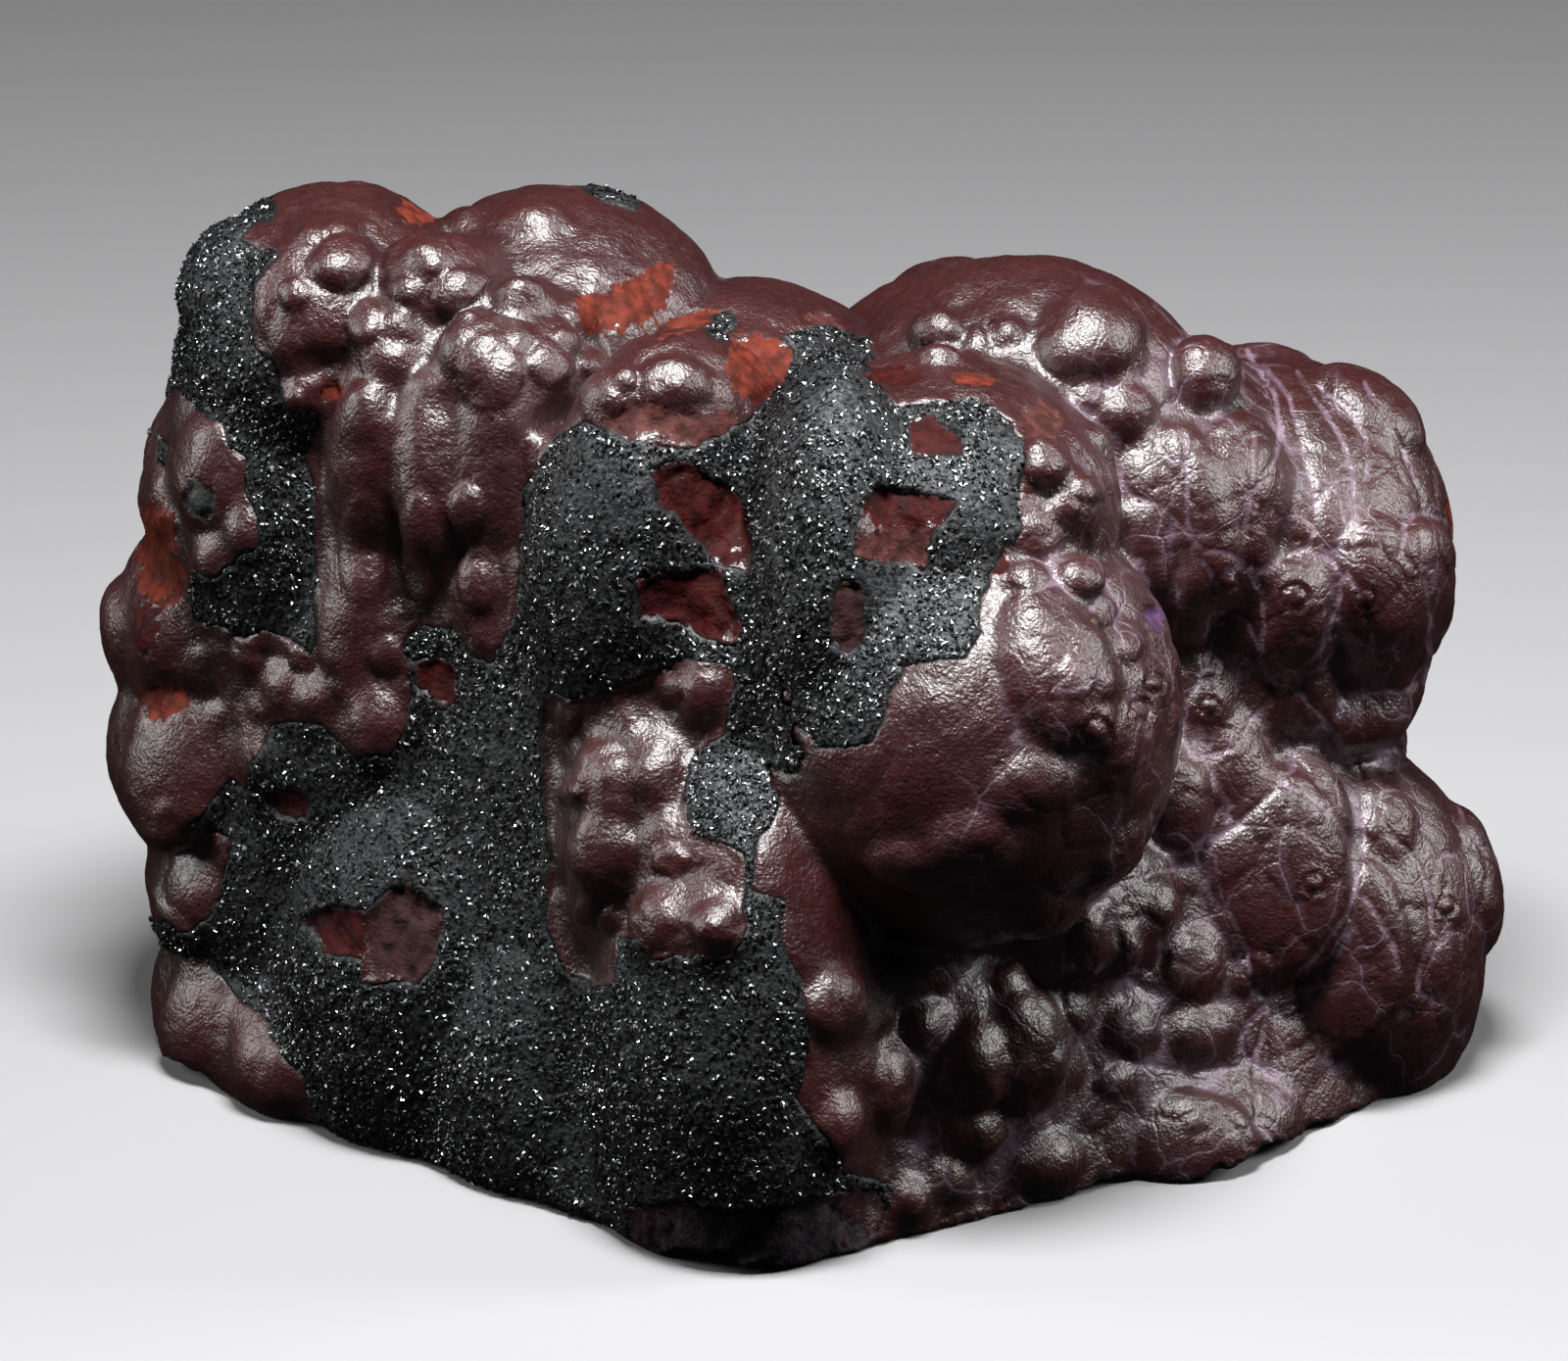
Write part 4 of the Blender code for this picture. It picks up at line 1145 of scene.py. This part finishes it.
# Materials. Every pattern is in the object's own space, in metres. Colours are linear.
MAROON = (0.040, 0.005, 0.005, 1.0), (0.062, 0.010, 0.010, 1.0)
DIRT = (0.036, 0.009, 0.009, 1.0)
# Painted shade: the dark red that the skin's hollows are darkened toward.
PAINTED_SHADE = (0.035, 0.010, 0.010, 1.0)
LAVENDER = (0.30, 0.20, 0.27, 1.0)
UNDER_CRUST = (0.02, 0.02, 0.022, 1.0)
ORE = (0.030, 0.022, 0.026, 1.0), (0.120, 0.095, 0.105, 1.0)
SPECULAR = (0.016, 0.016, 0.017, 1.0), (0.100, 0.104, 0.108, 1.0)

# How wide the cells are whose borders show as thin pale lines, and how far they bend, in mm.
CELL_SIZE = 4.4
CELL_BEND = 2.0


def new_material(name, roughness, metallic=0.0):
    material = bpy.data.materials.new(name)
    material.use_nodes = True
    tree = material.node_tree
    shader = tree.nodes["Principled BSDF"]
    shader.inputs["Roughness"].default_value = roughness
    shader.inputs["Metallic"].default_value = metallic
    return material, tree, shader


def add_node(tree, kind, settings=None, **inputs):
    """A node with its settings, and with each input linked to a socket or set to a value.

    An input goes by its name, or by its number after an underscore.
    """
    node = tree.nodes.new(kind)
    for name, value in (settings or {}).items():
        setattr(node, name, value)
    for name, value in inputs.items():
        socket = node.inputs[int(name[1:]) if name.startswith("_") else name]
        if isinstance(value, bpy.types.NodeSocket):
            tree.links.new(value, socket)
        else:
            socket.default_value = value
    return node


def read(tree, name, output="Fac"):
    return add_node(tree, "ShaderNodeAttribute", {"attribute_name": name}).outputs[output]


def noise(tree, place, grain, detail=4.0):
    """Noise whose swells are about grain mm wide."""
    scale = 1.0 / (grain * MM)
    node = add_node(tree, "ShaderNodeTexNoise", Vector=place, Scale=scale, Detail=detail)
    return node.outputs["Fac"]


def spread(tree, value, low, high, to_low=0.0, to_high=1.0):
    node = add_node(
        tree, "ShaderNodeMapRange", Value=value,
        **{"From Min": low, "From Max": high, "To Min": to_low, "To Max": to_high}
    )
    return node.outputs["Result"]


def chain(tree, operation, values):
    total = values[0]
    for value in values[1:]:
        node = add_node(tree, "ShaderNodeMath", {"operation": operation}, _0=total, _1=value)
        total = node.outputs[0]
    return total


def sum_of(tree, *values):
    return chain(tree, "ADD", values)


def times(tree, *values):
    return chain(tree, "MULTIPLY", values)


def scale_by(tree, vector, factor):
    node = add_node(tree, "ShaderNodeVectorMath", {"operation": "SCALE"}, _0=vector, Scale=factor)
    return node.outputs[0]


def mix(tree, amount, first, second):
    """Two colours mixed."""
    node = add_node(
        tree, "ShaderNodeMix", {"data_type": "RGBA"}, Factor=amount, _6=first, _7=second
    )
    return node.outputs[2]


def bump(tree, height, strength, distance, **below):
    """A bump of a distance in mm, on top of another bump if there is one below."""
    node = add_node(
        tree, "ShaderNodeBump", Strength=strength, Distance=distance * MM, Height=height, **below
    )
    return node.outputs[0]


def cell_border(tree, place):
    """How far a place is from the border of its flat cell, in mm."""
    bend = add_node(tree, "ShaderNodeTexNoise", Vector=place, Scale=1.0 / (2.5 * MM))
    bend = scale_by(tree, bend.outputs["Color"], CELL_BEND * MM)
    bent = add_node(tree, "ShaderNodeVectorMath", {"operation": "ADD"}, _0=place, _1=bend)
    border = add_node(
        tree, "ShaderNodeTexVoronoi", {"feature": "DISTANCE_TO_EDGE"}, Vector=bent.outputs[0],
        Scale=1.0 / (CELL_SIZE * MM)
    )
    return times(tree, border.outputs["Distance"], CELL_SIZE)


def maroon(tree, place, fine):
    """The skin's own red-brown, with dirt in its grain and painted shade darkening its hollows."""
    colour = mix(tree, spread(tree, noise(tree, place, 6.0), 0.35, 0.65), *MAROON)
    colour = mix(tree, spread(tree, fine, 0.4, 0.75, 0.0, 0.35), colour, DIRT)
    # Painted shade: the deeper a corner lies in a hollow, the darker it is painted.
    hollow = spread(tree, read(tree, "hollow"), 0.02, 0.16)
    return mix(tree, times(tree, hollow, 0.6), colour, PAINTED_SHADE)


def frost(tree, place, border):
    """How much pale film lies in the seams, in the hollows and along the borders of the cells."""
    right = read(tree, "right")
    seam = spread(tree, read(tree, "seam"), 0.08, 0.20, 1.0, 0.0)
    seam = times(tree, seam, spread(tree, noise(tree, place, 1.5), 0.35, 0.6))
    film = times(tree, spread(tree, read(tree, "hollow"), 0.03, 0.12), right)
    film = times(tree, film, spread(tree, noise(tree, place, 2.5), 0.45, 0.65, 0.0, 0.7))
    line = spread(tree, border, 0.02, 0.09, 0.5, 0.0)
    halo = spread(tree, border, 0.05, 0.6, 0.15, 0.0)
    patch = spread(tree, noise(tree, place, 4.0), 0.42, 0.60)
    web = times(tree, sum_of(tree, line, halo), right, patch)
    return sum_of(tree, times(tree, seam, 0.6), film, web)


def stain(tree, place, fine):
    """How much of a stain there is, and its mottled colour."""
    torn = spread(tree, fine, 0.3, 0.7, -0.3, 0.3)
    amount = spread(tree, sum_of(tree, read(tree, "stain", "Alpha"), torn), 0.48, 0.53)
    shade = spread(tree, noise(tree, place, 0.8, 6.0), 0.38, 0.62, 0.5, 1.2)
    return amount, scale_by(tree, read(tree, "stain", "Color"), shade)


def broken_ore(tree, place):
    """The fibres of the ore where it is broken."""
    fibres = add_node(tree, "ShaderNodeMapping", Vector=place, Scale=(1.0, 0.2, 0.5))
    return mix(tree, spread(tree, noise(tree, fibres.outputs[0], 0.4), 0.35, 0.65), *ORE)


def skin_normal(tree, place, border):
    """Dimples and grit, and the edges of the flat cells."""
    dimples = bump(tree, noise(tree, place, 0.4, 2.0), 0.7, 0.09)
    grit = bump(tree, noise(tree, place, 0.18), 0.8, 0.08, Normal=dimples)
    raised = times(tree, spread(tree, border, 0.0, 0.15), read(tree, "right"))
    return bump(tree, raised, 0.4, 0.06, Normal=grit)


def skin_material():
    material, tree, shader = new_material("hematite skin", 0.42)
    place = add_node(tree, "ShaderNodeTexCoord").outputs["Object"]
    fine = noise(tree, place, 0.5, 6.0)
    border = cell_border(tree, place)
    stained, stain_colour = stain(tree, place, fine)
    under = spread(tree, read(tree, "crust"), -0.05, 0.12)
    colour = mix(tree, frost(tree, place, border), maroon(tree, place, fine), LAVENDER)
    colour = mix(tree, stained, colour, stain_colour)
    colour = mix(tree, under, colour, UNDER_CRUST)
    colour = mix(tree, read(tree, "broken"), colour, broken_ore(tree, place))
    roughness = sum_of(tree, spread(tree, fine, 0.3, 0.7, 0.30, 0.42), times(tree, stained, 0.3))
    gloss = spread(tree, sum_of(tree, stained, under), 0.0, 1.0, 0.5, 0.06)
    tree.links.new(colour, shader.inputs["Base Color"])
    tree.links.new(roughness, shader.inputs["Roughness"])
    tree.links.new(skin_normal(tree, place, border), shader.inputs["Normal"])
    tree.links.new(gloss, shader.inputs["Specular IOR Level"])
    shader.inputs["IOR"].default_value = 2.1
    return material


def crust_material():
    material, tree, shader = new_material("specular crust", 0.5, 0.6)
    place = add_node(tree, "ShaderNodeTexCoord").outputs["Object"]
    grain = noise(tree, place, 0.25, 5.0)
    colour = mix(tree, spread(tree, grain, 0.35, 0.7), *SPECULAR)
    tree.links.new(colour, shader.inputs["Base Color"])
    tree.links.new(bump(tree, grain, 0.8, 0.15), shader.inputs["Normal"])
    return material


def plate_material(name, grey, roughness):
    material, _, shader = new_material(name, roughness, 1.0)
    shader.inputs["Base Color"].default_value = (grey, grey * 1.02, grey * 1.04, 1.0)
    return material


def finish_piece(piece, material):
    piece.data.materials.clear()
    piece.data.materials.append(material)
    piece.data.transform(Matrix.Scale(MM, 4))
    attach(piece, "root")
    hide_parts(NODE)


# The stage. Half the floor's width and its gap under the stone are in metres.
FLOOR_HALF = 2.0
FLOOR_GAP = 0.0001
PALE = (0.50, 0.50, 0.51, 1.0)
STUDIO_GREY = (0.012, 0.012, 0.013, 1.0)


def add_camera():
    data = bpy.data.cameras.new("camera")
    data.sensor_width = SENSOR
    data.lens = FOCAL * SENSOR / PHOTO_WIDTH
    data.clip_start = 0.01
    camera = bpy.data.objects.new("camera", data)
    camera.location = Vector((TARGET + TOWARD_CAMERA * DISTANCE) * MM)
    camera.rotation_euler = Vector(-TOWARD_CAMERA).to_track_quat("-Z", "Y").to_euler()
    bpy.context.scene.collection.objects.link(camera)
    bpy.context.scene.camera = camera


def add_floor():
    half = FLOOR_HALF
    corners = [(-half, -half, 0.0), (half, -half, 0.0), (half, half, 0.0), (-half, half, 0.0)]
    floor = new_object("floor", corners, [(0, 1, 2, 3)])
    floor.location.z = -FLOOR_GAP
    material, _, shader = new_material("pale floor", 0.9)
    shader.inputs["Base Color"].default_value = PALE
    floor.data.materials.append(material)
    floor.visible_diffuse = False
    floor.visible_glossy = False


# Soft lights: where each one is, what it aims at and its size, in mm, and its power in watts.
LIGHTS = {
    "top": ((0, -62, 245), (0, -5, 30), (100, 60), 0.92),
    "left": ((-290, 10, 130), (-10, 0, 25), (90, 110), 0.28),
    "right": ((280, 10, 170), (15, 0, 25), (90, 110), 0.42),
}


def add_light(name, place, aim, size, power):
    data = bpy.data.lights.new(name, "AREA")
    data.shape = "RECTANGLE"
    data.size, data.size_y = (side * MM for side in size)
    data.energy = power
    light = bpy.data.objects.new(name, data)
    light.location = Vector(place) * MM
    light.rotation_euler = (Vector(aim) - Vector(place)).to_track_quat("-Z", "Y").to_euler()
    bpy.context.scene.collection.objects.link(light)


def add_world():
    world = bpy.data.worlds.new("studio")
    world.use_nodes = True
    world.node_tree.nodes["Background"].inputs["Color"].default_value = STUDIO_GREY
    bpy.context.scene.world = world


lump = build_lump()
soften(lump)
survey = Survey(lump)
skin = make_skin(lump, survey)
crust, seat = make_crust(lump, survey)
standing = make_plates("standing_plates", seat, *STANDING)
lying = make_plates("lying_plates", seat, *LYING)
bright = make_plates("bright_plates", seat, *BRIGHT)
bpy.data.objects.remove(lump)
for piece in (skin, crust):
    piece.data.shade_smooth()
finish_piece(skin, skin_material())
finish_piece(crust, crust_material())
dark = plate_material("dark plates", 0.14, 0.32)
finish_piece(standing, dark)
finish_piece(lying, dark)
finish_piece(bright, plate_material("bright plates", 0.6, 0.12))
add_camera()
add_floor()
add_world()
for name, light in LIGHTS.items():
    add_light(name, *light)
bpy.context.scene.view_settings.view_transform = "Standard"
